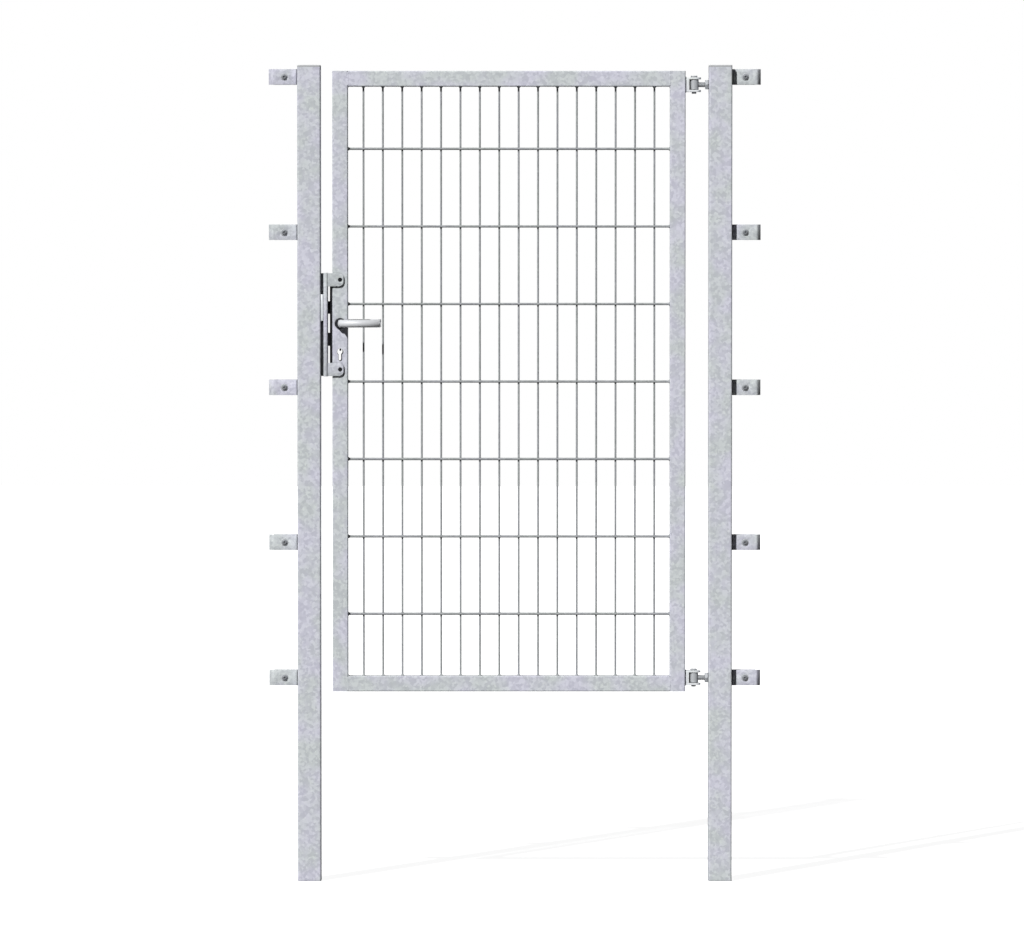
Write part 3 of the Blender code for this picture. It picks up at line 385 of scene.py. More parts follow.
def moulded_plastic(name, colour, roughness, sheen, grain_mm, bump):
    """Plastic from a sparked mould: one colour, faintly clouded, with a fine even grain."""
    material, tree, place = begun(name)
    cloud = add_node(tree, "ShaderNodeTexNoise", values={"Scale": per_metre(PLASTIC_CLOUDS_MM)},
                     links={"Vector": place})
    shade = add_node(tree, "ShaderNodeMapRange", links={"Value": cloud.outputs["Fac"]},
                     values={"To Min": PLASTIC_SHADES[0], "To Max": PLASTIC_SHADES[1]})
    tinted = add_node(tree, "ShaderNodeVectorMath", {"operation": "SCALE"},
                      {0: linear(colour)[:3]}, {"Scale": shade.outputs[0]})
    grain = add_node(tree, "ShaderNodeTexNoise", values={"Scale": per_metre(grain_mm)},
                     links={"Vector": place})
    return finished(material, tinted.outputs[0], grain.outputs["Fac"], bump, PLASTIC_RELIEF,
                    roughness, sheen)


# Soft and slightly waxy, a shade darker than the zinc below it.
grey_polyethylene = moulded_plastic("grey_polyethylene", "AEB0B2", roughness=0.55, sheen=0.3,
                                    grain_mm=0.8, bump=0.3)
for post in ("hinge_post", "latch_post"):
    cap_low, cap_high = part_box(f"{post}_cap")
    post_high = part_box(post)[1]
    lid_low = post_high.z + SEAT_GAP
    lid = slab(rounded_outline(cap_low, cap_high, POST_CORNER), lid_low, cap_high.z, CAP_EDGE)
    inset = Vector((CAP_SKIRT_INSET, CAP_SKIRT_INSET, 0))
    skirt = slab(rounded_outline(cap_low + inset, cap_high - inset, POST_CORNER / 2),
                 cap_low.z, lid_low + CAP_EDGE)
    cap_mesh = joined(to_mesh(lid, grey_polyethylene), to_mesh(skirt, grey_polyethylene))
    add_piece(f"{post}_lid", cap_mesh, "posts", "cap", f"{post}_cap")


# Weld beads
# Each lug, frame corner, clevis and the strike is welded on before dipping. A bead is a row of
# overlapping ripples, laid here along its line and covered by the same zinc.

RIPPLE_PITCH = 0.0016
RIPPLE_LENGTH = 0.0030
RIPPLE_SPREAD = (0.88, 1.12)
LUG_BEAD = 0.0042
CORNER_BEAD = 0.0034
FLUSH_BEAD = 0.0050
FLUSH_RISE = 0.0007
CLEVIS_BEAD = 0.0036
STRIKE_BEAD = 0.0036
BEAD_INSET = 0.0015
LUG_THICKNESS = 0.004
FRAME_CORNER = 0.003
STRIKE_BASE_INSET = 0.002
STITCH_LENGTH = 0.030
STITCH_SHARES = (0.08, 0.36, 0.64, 0.92)
CLAMP_NUMBERS = range(1, 6)


def new_tree(name, **inputs):
    """An empty geometry node tree with its named inputs, given as socket type and default."""
    tree = bpy.data.node_groups.new(name, "GeometryNodeTree")
    for label, (kind, default) in inputs.items():
        socket = tree.interface.new_socket(label, in_out="INPUT", socket_type=f"NodeSocket{kind}")
        if default is not None:
            socket.default_value = default
    tree.interface.new_socket("Geometry", in_out="OUTPUT", socket_type="NodeSocketGeometry")
    return tree, add_node(tree, "NodeGroupInput").outputs


def close_tree(tree, geometry, material):
    """End a tree: make its instances real and set their material."""
    real = add_node(tree, "GeometryNodeRealizeInstances", links={0: geometry})
    painted = add_node(tree, "GeometryNodeSetMaterial", links={"Geometry": real.outputs[0],
                                                               "Material": material})
    add_node(tree, "NodeGroupOutput", links={"Geometry": painted.outputs[0]})


def modified(mesh, kind, settings, inputs=()):
    """The plain mesh that a modifier makes of a mesh, with its settings and a tree's inputs set."""
    carrier = bpy.data.objects.new("carrier", mesh)
    scene.collection.objects.link(carrier)
    modifier = carrier.modifiers.new("shaping", kind)
    for name, value in settings.items():
        setattr(modifier, name, value)
    for identifier, value in dict(inputs).items():
        modifier[identifier] = value
    evaluated = carrier.evaluated_get(bpy.context.evaluated_depsgraph_get())
    made = bpy.data.meshes.new_from_object(evaluated)
    bpy.data.objects.remove(carrier)
    return made


def grown(tree, start, **values):
    """The plain mesh that a tree makes of a start mesh, with its inputs set by name.

    The empty slot that Set Material leaves before its own is dropped.
    """
    inputs = {socket.identifier: values[socket.name] for socket in tree.interface.items_tree
              if socket.name in values}
    mesh = modified(start, "NODES", {"node_group": tree}, inputs)
    finish = next(material for material in mesh.materials if material)
    mesh.materials.clear()
    mesh.materials.append(finish)
    return mesh


def lines_mesh(lines):
    """A mesh of loose edges, one for each pair of end points."""
    mesh = bpy.data.meshes.new("lines")
    points = [point for line in lines for point in line]
    edges = [(number, number + 1) for number in range(0, len(points), 2)]
    mesh.from_pydata(points, edges, [])
    return mesh


bead_tree, bead_in = new_tree(
    "weld_bead", Lines=("Geometry", None), Pitch=("Float", RIPPLE_PITCH), Ripple=("Vector", None),
    Seed=("Int", 0), Zinc=("Material", None))
bead_line = add_node(bead_tree, "GeometryNodeMeshToCurve", links={0: bead_in["Lines"]})
bead_points = add_node(bead_tree, "GeometryNodeCurveToPoints", {"mode": "LENGTH"},
                       links={"Curve": bead_line.outputs[0], "Length": bead_in["Pitch"]})
bead_drop = add_node(bead_tree, "GeometryNodeMeshUVSphere",
                     values={"Segments": 8, "Rings": 6, "Radius": 0.5})
bead_vary = add_node(bead_tree, "FunctionNodeRandomValue", {"data_type": "FLOAT"},
                     {2: RIPPLE_SPREAD[0], 3: RIPPLE_SPREAD[1]}, {"Seed": bead_in["Seed"]})
bead_size = add_node(bead_tree, "ShaderNodeVectorMath", {"operation": "SCALE"},
                     links={0: bead_in["Ripple"], "Scale": bead_vary.outputs[1]})
bead_row = add_node(bead_tree, "GeometryNodeInstanceOnPoints",
                    links={"Points": bead_points.outputs["Points"],
                           "Instance": bead_drop.outputs["Mesh"], "Scale": bead_size.outputs[0]})
close_tree(bead_tree, bead_row.outputs[0], bead_in["Zinc"])


def beads(lines, across, out, seed):
    """Weld beads along lines on the Y or Z axis, with their size across X and out from the face."""
    sideways = lines[0][0][2] == lines[0][1][2]
    ripple = (across, RIPPLE_LENGTH, out) if sideways else (across, out, RIPPLE_LENGTH)
    return grown(bead_tree, lines_mesh(lines), Pitch=RIPPLE_PITCH, Ripple=ripple, Seed=seed,
                 Zinc=dipped_zinc)


def upright(x, y, low, high):
    """A vertical line, held back a little from both ends of its joint."""
    return ((x, y, low + BEAD_INSET), (x, y, high - BEAD_INSET))


# Up the back of each lug, where it meets the post. The post's own box reaches out to the end of the
# lugs, so the place of its face comes from its cap, which is flush with it.
lug_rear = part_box("clamp_plate_hinge_1")[1].y + SEAT_GAP + LUG_THICKNESS
post_beads = []
for side_name, outer_side in (("hinge", 1), ("latch", 0)):
    face_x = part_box(f"{side_name}_post_cap")[outer_side].x
    for number in CLAMP_NUMBERS:
        plate_low, plate_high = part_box(f"clamp_plate_{side_name}_{number}")
        post_beads.append(upright(face_x, lug_rear, plate_low.z, plate_high.z))
add_piece("lug_weld_beads", beads(post_beads, LUG_BEAD, LUG_BEAD, seed=1), "posts", "galvanised")

# In the four inside corners of the frame, and nearly flush over the joints on both its faces.
stile_faces = (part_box("latch_stile")[1].x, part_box("hinge_stile")[0].x)
leaf_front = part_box("top_rail")[0].y
leaf_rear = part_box("top_rail")[1].y
rail_insides = (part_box("top_rail")[0].z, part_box("bottom_rail")[1].z)
corner_beads = [((x, leaf_front + FRAME_CORNER, z), (x, leaf_rear - FRAME_CORNER, z))
                for x in stile_faces for z in rail_insides]
add_piece("frame_corner_beads", beads(corner_beads, CORNER_BEAD, CORNER_BEAD, seed=2), "leaf",
          "galvanised")
flush_beads = [upright(x, y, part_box(rail)[0].z + FRAME_CORNER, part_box(rail)[1].z - FRAME_CORNER)
               for x in stile_faces for y in (leaf_front, leaf_rear)
               for rail in ("top_rail", "bottom_rail")]
add_piece("frame_seam_beads", beads(flush_beads, FLUSH_BEAD, FLUSH_RISE, seed=3), "leaf",
          "galvanised")

# Above and below each clevis, along its root on the stile.
clevis_ends = []
for place in ("top", "bottom"):
    clevis_low, clevis_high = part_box(f"clevis_{place}")
    for z in (clevis_low.z, clevis_high.z):
        clevis_ends.append(((clevis_low.x, clevis_low.y + BEAD_INSET, z),
                            (clevis_low.x, clevis_high.y - BEAD_INSET, z)))
add_piece("clevis_weld_beads", beads(clevis_ends, CLEVIS_BEAD, CLEVIS_BEAD, seed=5), "leaf",
          "galvanised")

# Four stitches down the back of the strike's base.
strike_low, strike_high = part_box("strike")
stitches = []
for share in STITCH_SHARES:
    middle = strike_low.z + share * (strike_high.z - strike_low.z)
    stitches.append(upright(strike_low.x, strike_high.y - STRIKE_BASE_INSET,
                            middle - STITCH_LENGTH / 2, middle + STITCH_LENGTH / 2))
add_piece("strike_weld_beads", beads(stitches, STRIKE_BEAD, STRIKE_BEAD, seed=6), "posts",
          "galvanised")


# Clamp plates
# Strips of 3 mm sheet, pressed to a channel with a short lip, dipped with the rest. Each one pulls
# the edge of a fence mat against its lug. The press and the zinc leave its rims a little rounded.

RIM_ROUNDING = 0.0005
ROUNDING_STEPS = 2
FLAT_ANGLE = 1.0
BEVEL_ANGLE = 40.0


def softened(nodes, width, material):
    """Copies of frame nodes as one mesh, with flat faces made whole and sharp edges rounded."""
    shape = bmesh.new()
    for node in nodes:
        shape.from_mesh(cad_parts[node].data)
    for face in shape.faces:
        face.material_index = 0
    bmesh.ops.remove_doubles(shape, verts=shape.verts, dist=MERGE_DISTANCE)
    bmesh.ops.dissolve_limit(shape, angle_limit=math.radians(FLAT_ANGLE), verts=shape.verts,
                             edges=shape.edges)
    mesh = bpy.data.meshes.new("softened")
    shape.to_mesh(mesh)
    shape.free()
    mesh.materials.append(material)
    return modified(mesh, "BEVEL", {"width": width, "segments": ROUNDING_STEPS,
                                    "limit_method": "ANGLE",
                                    "angle_limit": math.radians(BEVEL_ANGLE)})


def clamp_nodes(kind):
    """The names of the ten nodes of a kind, which are the same at all clamps."""
    return [f"clamp_{kind}_{side_name}_{number}" for side_name in ("hinge", "latch")
            for number in CLAMP_NUMBERS]


clamp_plates = clamp_nodes("plate")
add_piece("pressed_clamp_plates", softened(clamp_plates, RIM_ROUNDING, dipped_zinc), "posts",
          "galvanised", *clamp_plates)


# Clamp screws
# Button head screws M8 with a hexagon socket and a hexagon nut behind each lug, in zinc plate
# coloured dark as a painted reflection of dark surroundings, over a bright conical washer. All of
# it is machined, with fine turning marks.

SCREW_SIZE = 0.008
SCREW_HEAD = 0.013
SCREW_HEAD_HEIGHT = 0.0036
HEAD_RIM = 0.0006
HEAD_FLAT_SHARE = 0.55
WASHER = 0.0185
WASHER_HEIGHT = 0.0022
WASHER_RIM = 0.0005
WASHER_CONE = 0.0019
SCREW_PITCH = 0.00125
THREAD_SHARE = 0.6
THREAD_STEPS = 6
SCREW_SIDES = 24
SOCKET_FLATS = 0.005
SOCKET_DEPTH = 0.0026
SOCKET_TIP = 0.0006
SOCKET_LEAD = 0.0002
LEAD_SHARE = 1.06
NUT_FLATS = 0.013
NUT_HEIGHT = 0.0065
NUT_FACE_SHARE = 0.95
CHAMFER_SLOPE = math.tan(math.radians(30))
HEAD_STEPS = 8
TURNED_SIDES = 48
PLATE_CLOUDS_MM = 6.0
MARKS_MM = 0.6
MARKS_BUMP = 0.25
MARKS_RELIEF = 0.00005


def plated_metal(name, colours, roughness, metallic, sheen):
    """A thin hard skin on machined metal: fine marks across it and faint clouds of colour."""
    material, tree, place = begun(name)
    cloud = add_node(tree, "ShaderNodeTexNoise", links={"Vector": place},
                     values={"Scale": per_metre(PLATE_CLOUDS_MM), "Detail": 3.0})
    tint = add_node(tree, "ShaderNodeMix", {"data_type": "RGBA"},
                    {6: linear(colours[0]), 7: linear(colours[1])}, {0: cloud.outputs["Fac"]})
    marks = add_node(tree, "ShaderNodeTexNoise", links={"Vector": place},
                     values={"Scale": per_metre(MARKS_MM), "Detail": 2.0}).outputs["Fac"]
    # The plate's colour gets painted shade in its recesses.
    return finished(material, painted_recess_shade(tree, tint.outputs[2]), marks, MARKS_BUMP, MARKS_RELIEF,
                    roughness, sheen, metallic, marks)


def turned(profile_at, sides=TURNED_SIDES):
    """Join the profiles that stand round the Z axis, one for each angle, into one closed shape.

    profile_at gives the (radius, height) points of the profile at an angle.
    """
    shape = bmesh.new()
    rows = []
    for side in range(sides):
        angle = math.tau * side / sides
        rows.append([shape.verts.new((radius * math.cos(angle), radius * math.sin(angle), height))
                     for radius, height in profile_at(angle)])
    for row, following in zip(rows, rows[1:] + rows[:1]):
        for place in range(len(row) - 1):
            shape.faces.new((row[place], row[place + 1], following[place + 1], following[place]))
    return shape


def hexagon(flats, angle):
    """How far a hexagon's side is from its middle at an angle."""
    return flats / 2 / math.cos((angle + math.pi / 6) % (math.pi / 3) - math.pi / 6)


def nut_profile(flats, height, bore):
    """The profile of a hexagon nut about its middle, chamfered by a cone at both ends."""
    def profile(angle):
        side = hexagon(flats, angle)
        face = flats / 2 * NUT_FACE_SHARE
        shoulder = height / 2 - (side - face) * CHAMFER_SLOPE
        lead = bore * LEAD_SHARE
        return ((bore, 0), (bore, lead - bore - height / 2), (lead, -height / 2),
                (face, -height / 2), (side, -shoulder), (side, shoulder), (face, height / 2),
                (lead, height / 2), (bore, height / 2 + bore - lead), (bore, 0))
    return profile


def washer_profile(angle):
    """The profile of a conical washer that rises from height 0, from a thin rim."""
    bore = SCREW_SIZE / 2 + SEAT_GAP
    return ((bore, 0), (WASHER / 2, 0), (WASHER / 2, WASHER_RIM),
            (WASHER / 2 - WASHER_CONE, WASHER_HEIGHT), (bore, WASHER_HEIGHT), (bore, 0))


def ring_profile(inner, outer, height, edge):
    """The profile of a plain ring about its middle, with all four rims chamfered."""
    half_height = height / 2
    return lambda angle: (
        (inner, 0), (inner, edge - half_height), (inner + edge, -half_height),
        (outer - edge, -half_height), (outer, edge - half_height), (outer, half_height - edge),
        (outer - edge, half_height), (inner + edge, half_height), (inner, half_height - edge),
        (inner, 0))


def button_head(angle):
    """A domed head over its seat at height 0, with a hexagon socket in the top."""
    radius = SCREW_HEAD / 2
    flat = radius * HEAD_FLAT_SHARE
    socket = hexagon(SOCKET_FLATS, angle)
    floor_depth = SCREW_HEAD_HEIGHT - SOCKET_DEPTH
    points = [(0, floor_depth - SOCKET_TIP), (socket, floor_depth),
              (socket, SCREW_HEAD_HEIGHT - SOCKET_LEAD), (socket * LEAD_SHARE, SCREW_HEAD_HEIGHT),
              (flat, SCREW_HEAD_HEIGHT)]
    for step in range(1, HEAD_STEPS + 1):
        turn = math.pi / 2 * step / HEAD_STEPS
        points.append((flat + (radius - flat) * math.sin(turn),
                       HEAD_RIM + (SCREW_HEAD_HEIGHT - HEAD_RIM) * math.cos(turn)))
    return points + [(radius, 0), (0, 0)]


# The thread's depth rises and falls once in each pitch along the bar, shifted by the turn round it.
thread_tree, thread_in = new_tree(
    "threaded_bar", Radius=("Float", SCREW_SIZE / 2), Length=("Float", SCREW_PITCH),
    Pitch=("Float", SCREW_PITCH), Depth=("Float", SCREW_PITCH * THREAD_SHARE),
    Sides=("Int", SCREW_SIDES), Rings=("Int", THREAD_STEPS), Steel=("Material", None))
bar = add_node(thread_tree, "GeometryNodeMeshCylinder", {"fill_type": "NGON"},
               links={"Vertices": thread_in["Sides"], "Side Segments": thread_in["Rings"],
                      "Radius": thread_in["Radius"], "Depth": thread_in["Length"]})
bar_place = add_node(thread_tree, "GeometryNodeInputPosition").outputs[0]
bar_axes = add_node(thread_tree, "ShaderNodeSeparateXYZ", links={0: bar_place}).outputs
bar_angle = add_node(thread_tree, "ShaderNodeMath", {"operation": "ARCTAN2"},
                     links={0: bar_axes["Y"], 1: bar_axes["X"]})
bar_turn = add_node(thread_tree, "ShaderNodeMath", {"operation": "DIVIDE"}, {1: math.tau},
                    {0: bar_angle.outputs[0]})
bar_rise = add_node(thread_tree, "ShaderNodeMath", {"operation": "DIVIDE"},
                    links={0: bar_axes["Z"], 1: thread_in["Pitch"]})
bar_phase = add_node(thread_tree, "ShaderNodeMath", {"operation": "SUBTRACT"},
                     links={0: bar_rise.outputs[0], 1: bar_turn.outputs[0]})
bar_wave = add_node(thread_tree, "ShaderNodeMath", {"operation": "PINGPONG"}, {1: 0.5},
                    {0: bar_phase.outputs[0]})
bar_inward = add_node(thread_tree, "ShaderNodeMath", {"operation": "MULTIPLY"}, {1: -2.0},
                      {0: bar_wave.outputs[0]})
bar_groove = add_node(thread_tree, "ShaderNodeMath", {"operation": "MULTIPLY"},
                      links={0: bar_inward.outputs[0], 1: thread_in["Depth"]})
bar_share = add_node(thread_tree, "ShaderNodeMath", {"operation": "DIVIDE"},
                     links={0: bar_groove.outputs[0], 1: thread_in["Radius"]})
bar_outward = add_node(thread_tree, "ShaderNodeVectorMath", {"operation": "MULTIPLY"},
                       {1: (1.0, 1.0, 0.0)}, {0: bar_place})
bar_shift = add_node(thread_tree, "ShaderNodeVectorMath", {"operation": "SCALE"},
                     links={0: bar_outward.outputs[0], "Scale": bar_share.outputs[0]})
bar_cut = add_node(thread_tree, "GeometryNodeSetPosition",
                   links={"Geometry": bar.outputs["Mesh"], "Offset": bar_shift.outputs[0]})
close_tree(thread_tree, bar_cut.outputs[0], thread_in["Steel"])


def threaded_bar(diameter, length, pitch, steel, sides):
    """A bar along Z about its middle with a thread rolled into it, from the tree above."""
    return grown(thread_tree, bpy.data.meshes.new("start"), Radius=diameter / 2, Length=length,
                 Pitch=pitch, Depth=pitch * THREAD_SHARE, Sides=sides,
                 Rings=round(THREAD_STEPS * length / pitch), Steel=steel)


copy_tree, copy_in = new_tree("copies_at_points", Points=("Geometry", None),
                              Piece=("Object", None), Steel=("Material", None))
copy_shape = add_node(copy_tree, "GeometryNodeObjectInfo", links={"Object": copy_in["Piece"]})
copy_set = add_node(copy_tree, "GeometryNodeInstanceOnPoints",
                    links={"Points": copy_in["Points"], "Instance": copy_shape.outputs["Geometry"]})
close_tree(copy_tree, copy_set.outputs[0], copy_in["Steel"])


def copies(mesh, places):
    """The mesh repeated at each of the places, as one plain mesh."""
    pattern = bpy.data.objects.new("pattern", mesh)
    scene.collection.objects.link(pattern)
    points = bpy.data.meshes.new("points")
    points.from_pydata(places, [], [])
    repeated = grown(copy_tree, points, Piece=pattern, Steel=mesh.materials[0])
    bpy.data.objects.remove(pattern)
    return repeated


# The screws are dull, and their plate is coloured dark as a painted reflection of dark
# surroundings.
dark_painted_plate = plated_metal("zinc_plate_painted_dark", ("74777C", "84878C"), roughness=0.38,
                          metallic=0.05, sheen=0.4)
zinc_plate = plated_metal("zinc_plated_steel", ("A4A7AA", "AEB1B4"), roughness=0.42, metallic=0.0,
                          sheen=0.9)
TOWARD_VIEWER = Matrix.Rotation(math.pi / 2, 4, "X")
ALONG_X = Matrix.Rotation(math.pi / 2, 4, "Y")


def centre(node):
    """The middle of a node's box."""
    return sum(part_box(node), Vector()) / 2


washer_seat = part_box("clamp_plate_hinge_1")[0].y
head_seat = washer_seat - WASHER_HEIGHT
nut_seat = lug_rear + SEAT_GAP
screw_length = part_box("clamp_bolt_hinge_1")[1].y - head_seat
screw_head = to_mesh(turned(button_head), dark_painted_plate,
                     Matrix.Translation((0, head_seat, 0)) @ TOWARD_VIEWER)
screw_nut = to_mesh(turned(nut_profile(NUT_FLATS, NUT_HEIGHT, SCREW_SIZE / 2)), dark_painted_plate,
                    Matrix.Translation((0, nut_seat + NUT_HEIGHT / 2, 0)) @ TOWARD_VIEWER)
screw_thread = threaded_bar(SCREW_SIZE, screw_length, SCREW_PITCH, dark_painted_plate, SCREW_SIDES)
screw_thread.transform(Matrix.Translation((0, head_seat + screw_length / 2, 0)) @ TOWARD_VIEWER)
clamp_screw = joined(screw_head, screw_nut, screw_thread)
clamp_screws = clamp_nodes("bolt")
screw_places = [centre(node) * Vector((1, 0, 1)) for node in clamp_screws]
add_piece("button_head_screws", copies(clamp_screw, screw_places), "posts", "hardware",
          *clamp_screws)
washer = to_mesh(turned(washer_profile), zinc_plate,
                 Matrix.Translation((0, washer_seat, 0)) @ TOWARD_VIEWER)
add_piece("clamp_washers", copies(washer, screw_places), "posts", "hardware")


# Leaf frame
# Square tube 40 x 40 mm, mitreless: the rails butt between two full-length stiles. The lock is let
# into the latch stile, and everything is dipped as one piece.

dress(dipped_zinc, "latch_stile", "hinge_stile", "top_rail", "bottom_rail")


# Double-rod mesh
# Drawn wire: 5 mm uprights held between two 6 mm cross rods, each crossing spot welded at the front
# and the back. The rod ends are welded to the frame, and the zinc on the wire is thin and even.

UPRIGHT_ROD = 0.005
CROSS_ROD = 0.006
UPRIGHT_PITCH = 0.050
CROSS_PITCH = 0.200
NUGGET = (0.0076, 0.0030, 0.0066)
END_WELD = 0.0105
END_WELD_LENGTH = 0.004
ROD_SIDES = 16
END_SPACE = 0.6
WIRE_SPANGLE_MM = 6.0

rods_tree, rods_in = new_tree(
    "welded_rods", Count=("Int", 1), Start=("Vector", None), Step=("Vector", None),
    Length=("Vector", None), Diameter=("Float", UPRIGHT_ROD),
    WeldRadius=("Float", END_WELD / 2), WeldLength=("Float", END_WELD_LENGTH),
    Sides=("Int", ROD_SIDES), Zinc=("Material", None))
rod_line = add_node(rods_tree, "GeometryNodeCurvePrimitiveLine", links={"End": rods_in["Length"]})
rod_radius = add_node(rods_tree, "ShaderNodeMath", {"operation": "MULTIPLY"}, {1: 0.5},
                      {0: rods_in["Diameter"]}).outputs[0]
rod_ring = add_node(rods_tree, "GeometryNodeCurvePrimitiveCircle",
                    links={"Resolution": rods_in["Sides"], "Radius": rod_radius})
rod_bar = add_node(rods_tree, "GeometryNodeCurveToMesh", values={"Fill Caps": True},
                   links={"Curve": rod_line.outputs[0], "Profile Curve": rod_ring.outputs[0]})
rod_weld = add_node(rods_tree, "GeometryNodeMeshCone",
                    links={"Vertices": rods_in["Sides"], "Radius Top": rod_radius,
                           "Radius Bottom": rods_in["WeldRadius"], "Depth": rods_in["WeldLength"]})
far_start = add_node(rods_tree, "ShaderNodeVectorMath",
                     links={0: rods_in["Start"], 1: rods_in["Length"]})
way_back = add_node(rods_tree, "ShaderNodeVectorMath", {"operation": "SCALE"}, {"Scale": -1.0},
                    {0: rods_in["Length"]})
all_rods = add_node(rods_tree, "GeometryNodeJoinGeometry")
for start_socket, way, shapes in ((rods_in["Start"], rods_in["Length"], (rod_bar, rod_weld)),
                                  (far_start.outputs[0], way_back.outputs[0], (rod_weld,))):
    row = add_node(rods_tree, "GeometryNodeMeshLine",
                   links={"Count": rods_in["Count"], "Start Location": start_socket,
                          "Offset": rods_in["Step"]})
    facing_in = add_node(rods_tree, "FunctionNodeAlignRotationToVector", {"axis": "Z"},
                         links={"Vector": way})
    for shape in shapes:
        placed = add_node(rods_tree, "GeometryNodeInstanceOnPoints",
                          links={"Points": row.outputs[0], "Instance": shape.outputs[0]})
        if shape == rod_weld:
            rods_tree.links.new(facing_in.outputs[0], placed.inputs["Rotation"])
        rods_tree.links.new(placed.outputs[0], all_rods.inputs[0])
close_tree(rods_tree, all_rods.outputs[0], rods_in["Zinc"])


def welded_rods(count, start, step, length, diameter, zinc):
    """A row of rods along a vector, one step apart, with a weld at both ends of each."""
    return grown(rods_tree, bpy.data.meshes.new("start"), Count=count, Start=start, Step=step,
                 Length=length, Diameter=diameter, WeldRadius=END_WELD / 2,
                 WeldLength=END_WELD_LENGTH, Sides=ROD_SIDES, Zinc=zinc)


def even_count(low, high, pitch):
    """How many rods stand between two sides at a pitch, with more than half a pitch at the ends."""
    return int((high - low - 2 * END_SPACE * pitch) / pitch) + 1


left_face, right_face = stile_faces
top_face, bottom_face = rail_insides
middle_y = (leaf_front + leaf_rear) / 2
upright_count = even_count(left_face, right_face, UPRIGHT_PITCH)
cross_count = even_count(bottom_face, top_face, CROSS_PITCH)
first_x = (left_face + right_face - (upright_count - 1) * UPRIGHT_PITCH) / 2
first_z = (bottom_face + top_face - (cross_count - 1) * CROSS_PITCH) / 2
rod_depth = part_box("mesh_infill")[1].y - CROSS_ROD / 2 - middle_y

# Drawn bright, dipped, and dulled to a plain mid grey.
wire_zinc = galvanised("galvanised_wire", ("94969A", "A3A5A9", "AFB1B4"), "FCFFF8",
                       WIRE_SPANGLE_MM, bump=0.2)
upright_rods = welded_rods(upright_count, (first_x, middle_y, bottom_face),
                           (UPRIGHT_PITCH, 0.0, 0.0), (0.0, 0.0, top_face - bottom_face),
                           UPRIGHT_ROD, wire_zinc)
cross_rods = [welded_rods(cross_count, (left_face, middle_y + side * rod_depth, first_z),
                          (0.0, 0.0, CROSS_PITCH), (right_face - left_face, 0.0, 0.0), CROSS_ROD,
                          wire_zinc) for side in (-1, 1)]
nuggets = []
for side in (-1, 1):
    nugget = bmesh.new()
    bmesh.ops.create_uvsphere(nugget, u_segments=12, v_segments=8, radius=0.5)
    nugget_place = (Matrix.Translation((0, middle_y + side * UPRIGHT_ROD / 2, 0))
                    @ Matrix.Diagonal((*NUGGET, 1)))
    nuggets.append(to_mesh(nugget, wire_zinc, nugget_place))
crossings = [(first_x + column * UPRIGHT_PITCH, 0, first_z + row * CROSS_PITCH)
             for column in range(upright_count) for row in range(cross_count)]
rod_mesh = joined(upright_rods, *cross_rods, copies(joined(*nuggets), crossings))
add_piece("double_rod_wires", rod_mesh, "leaf", "galvanised", "mesh_infill")


# Clevises
# A U of flat bar welded to the edge of the hinge stile, with round arms that hold the pin above and
# below the eye. It is dipped with the leaf, so its rims are soft, and drains clean and pale.

pale_zinc = galvanised("drained_zinc", ("DDE0E3", "E6E8EA", "EEEFF0"), "FBFFFA", SPANGLE_MM,
                       bump=0.2)
for place in ("top", "bottom"):
    clevis = softened((f"clevis_{place}",), RIM_ROUNDING, pale_zinc)
    add_piece(f"forged_clevis_{place}", clevis, "leaf", "galvanised", f"clevis_{place}")


# Eye bolts, lock nuts and pins
# A bored barrel on an M14 shank, screwed into the post and locked by a hexagon nut, so the leaf can
# be set in or out. A headed pin drops through clevis and eye. All is machined and zinc plated.

SHANK_SIZE = 0.014
SHANK_PITCH = 0.002
SHANK_SIDES = 40
PIN_BORE = 0.013
BARREL_EDGE = 0.0008
LOCK_NUT_FLATS = 0.024
PIN_SIZE = 0.012
PIN_HEAD_HEIGHT = 0.004
PIN_EDGE = 0.0007


def pin_profile(head, size, head_height, length, edge):
    """The profile of a headed pin that hangs from its seat at height 0."""
    return lambda angle: (
        (0, head_height), (head - edge, head_height), (head, head_height - edge), (head, edge),
        (head - edge, 0), (size, 0), (size, edge - length), (size - edge, -length), (0, -length))


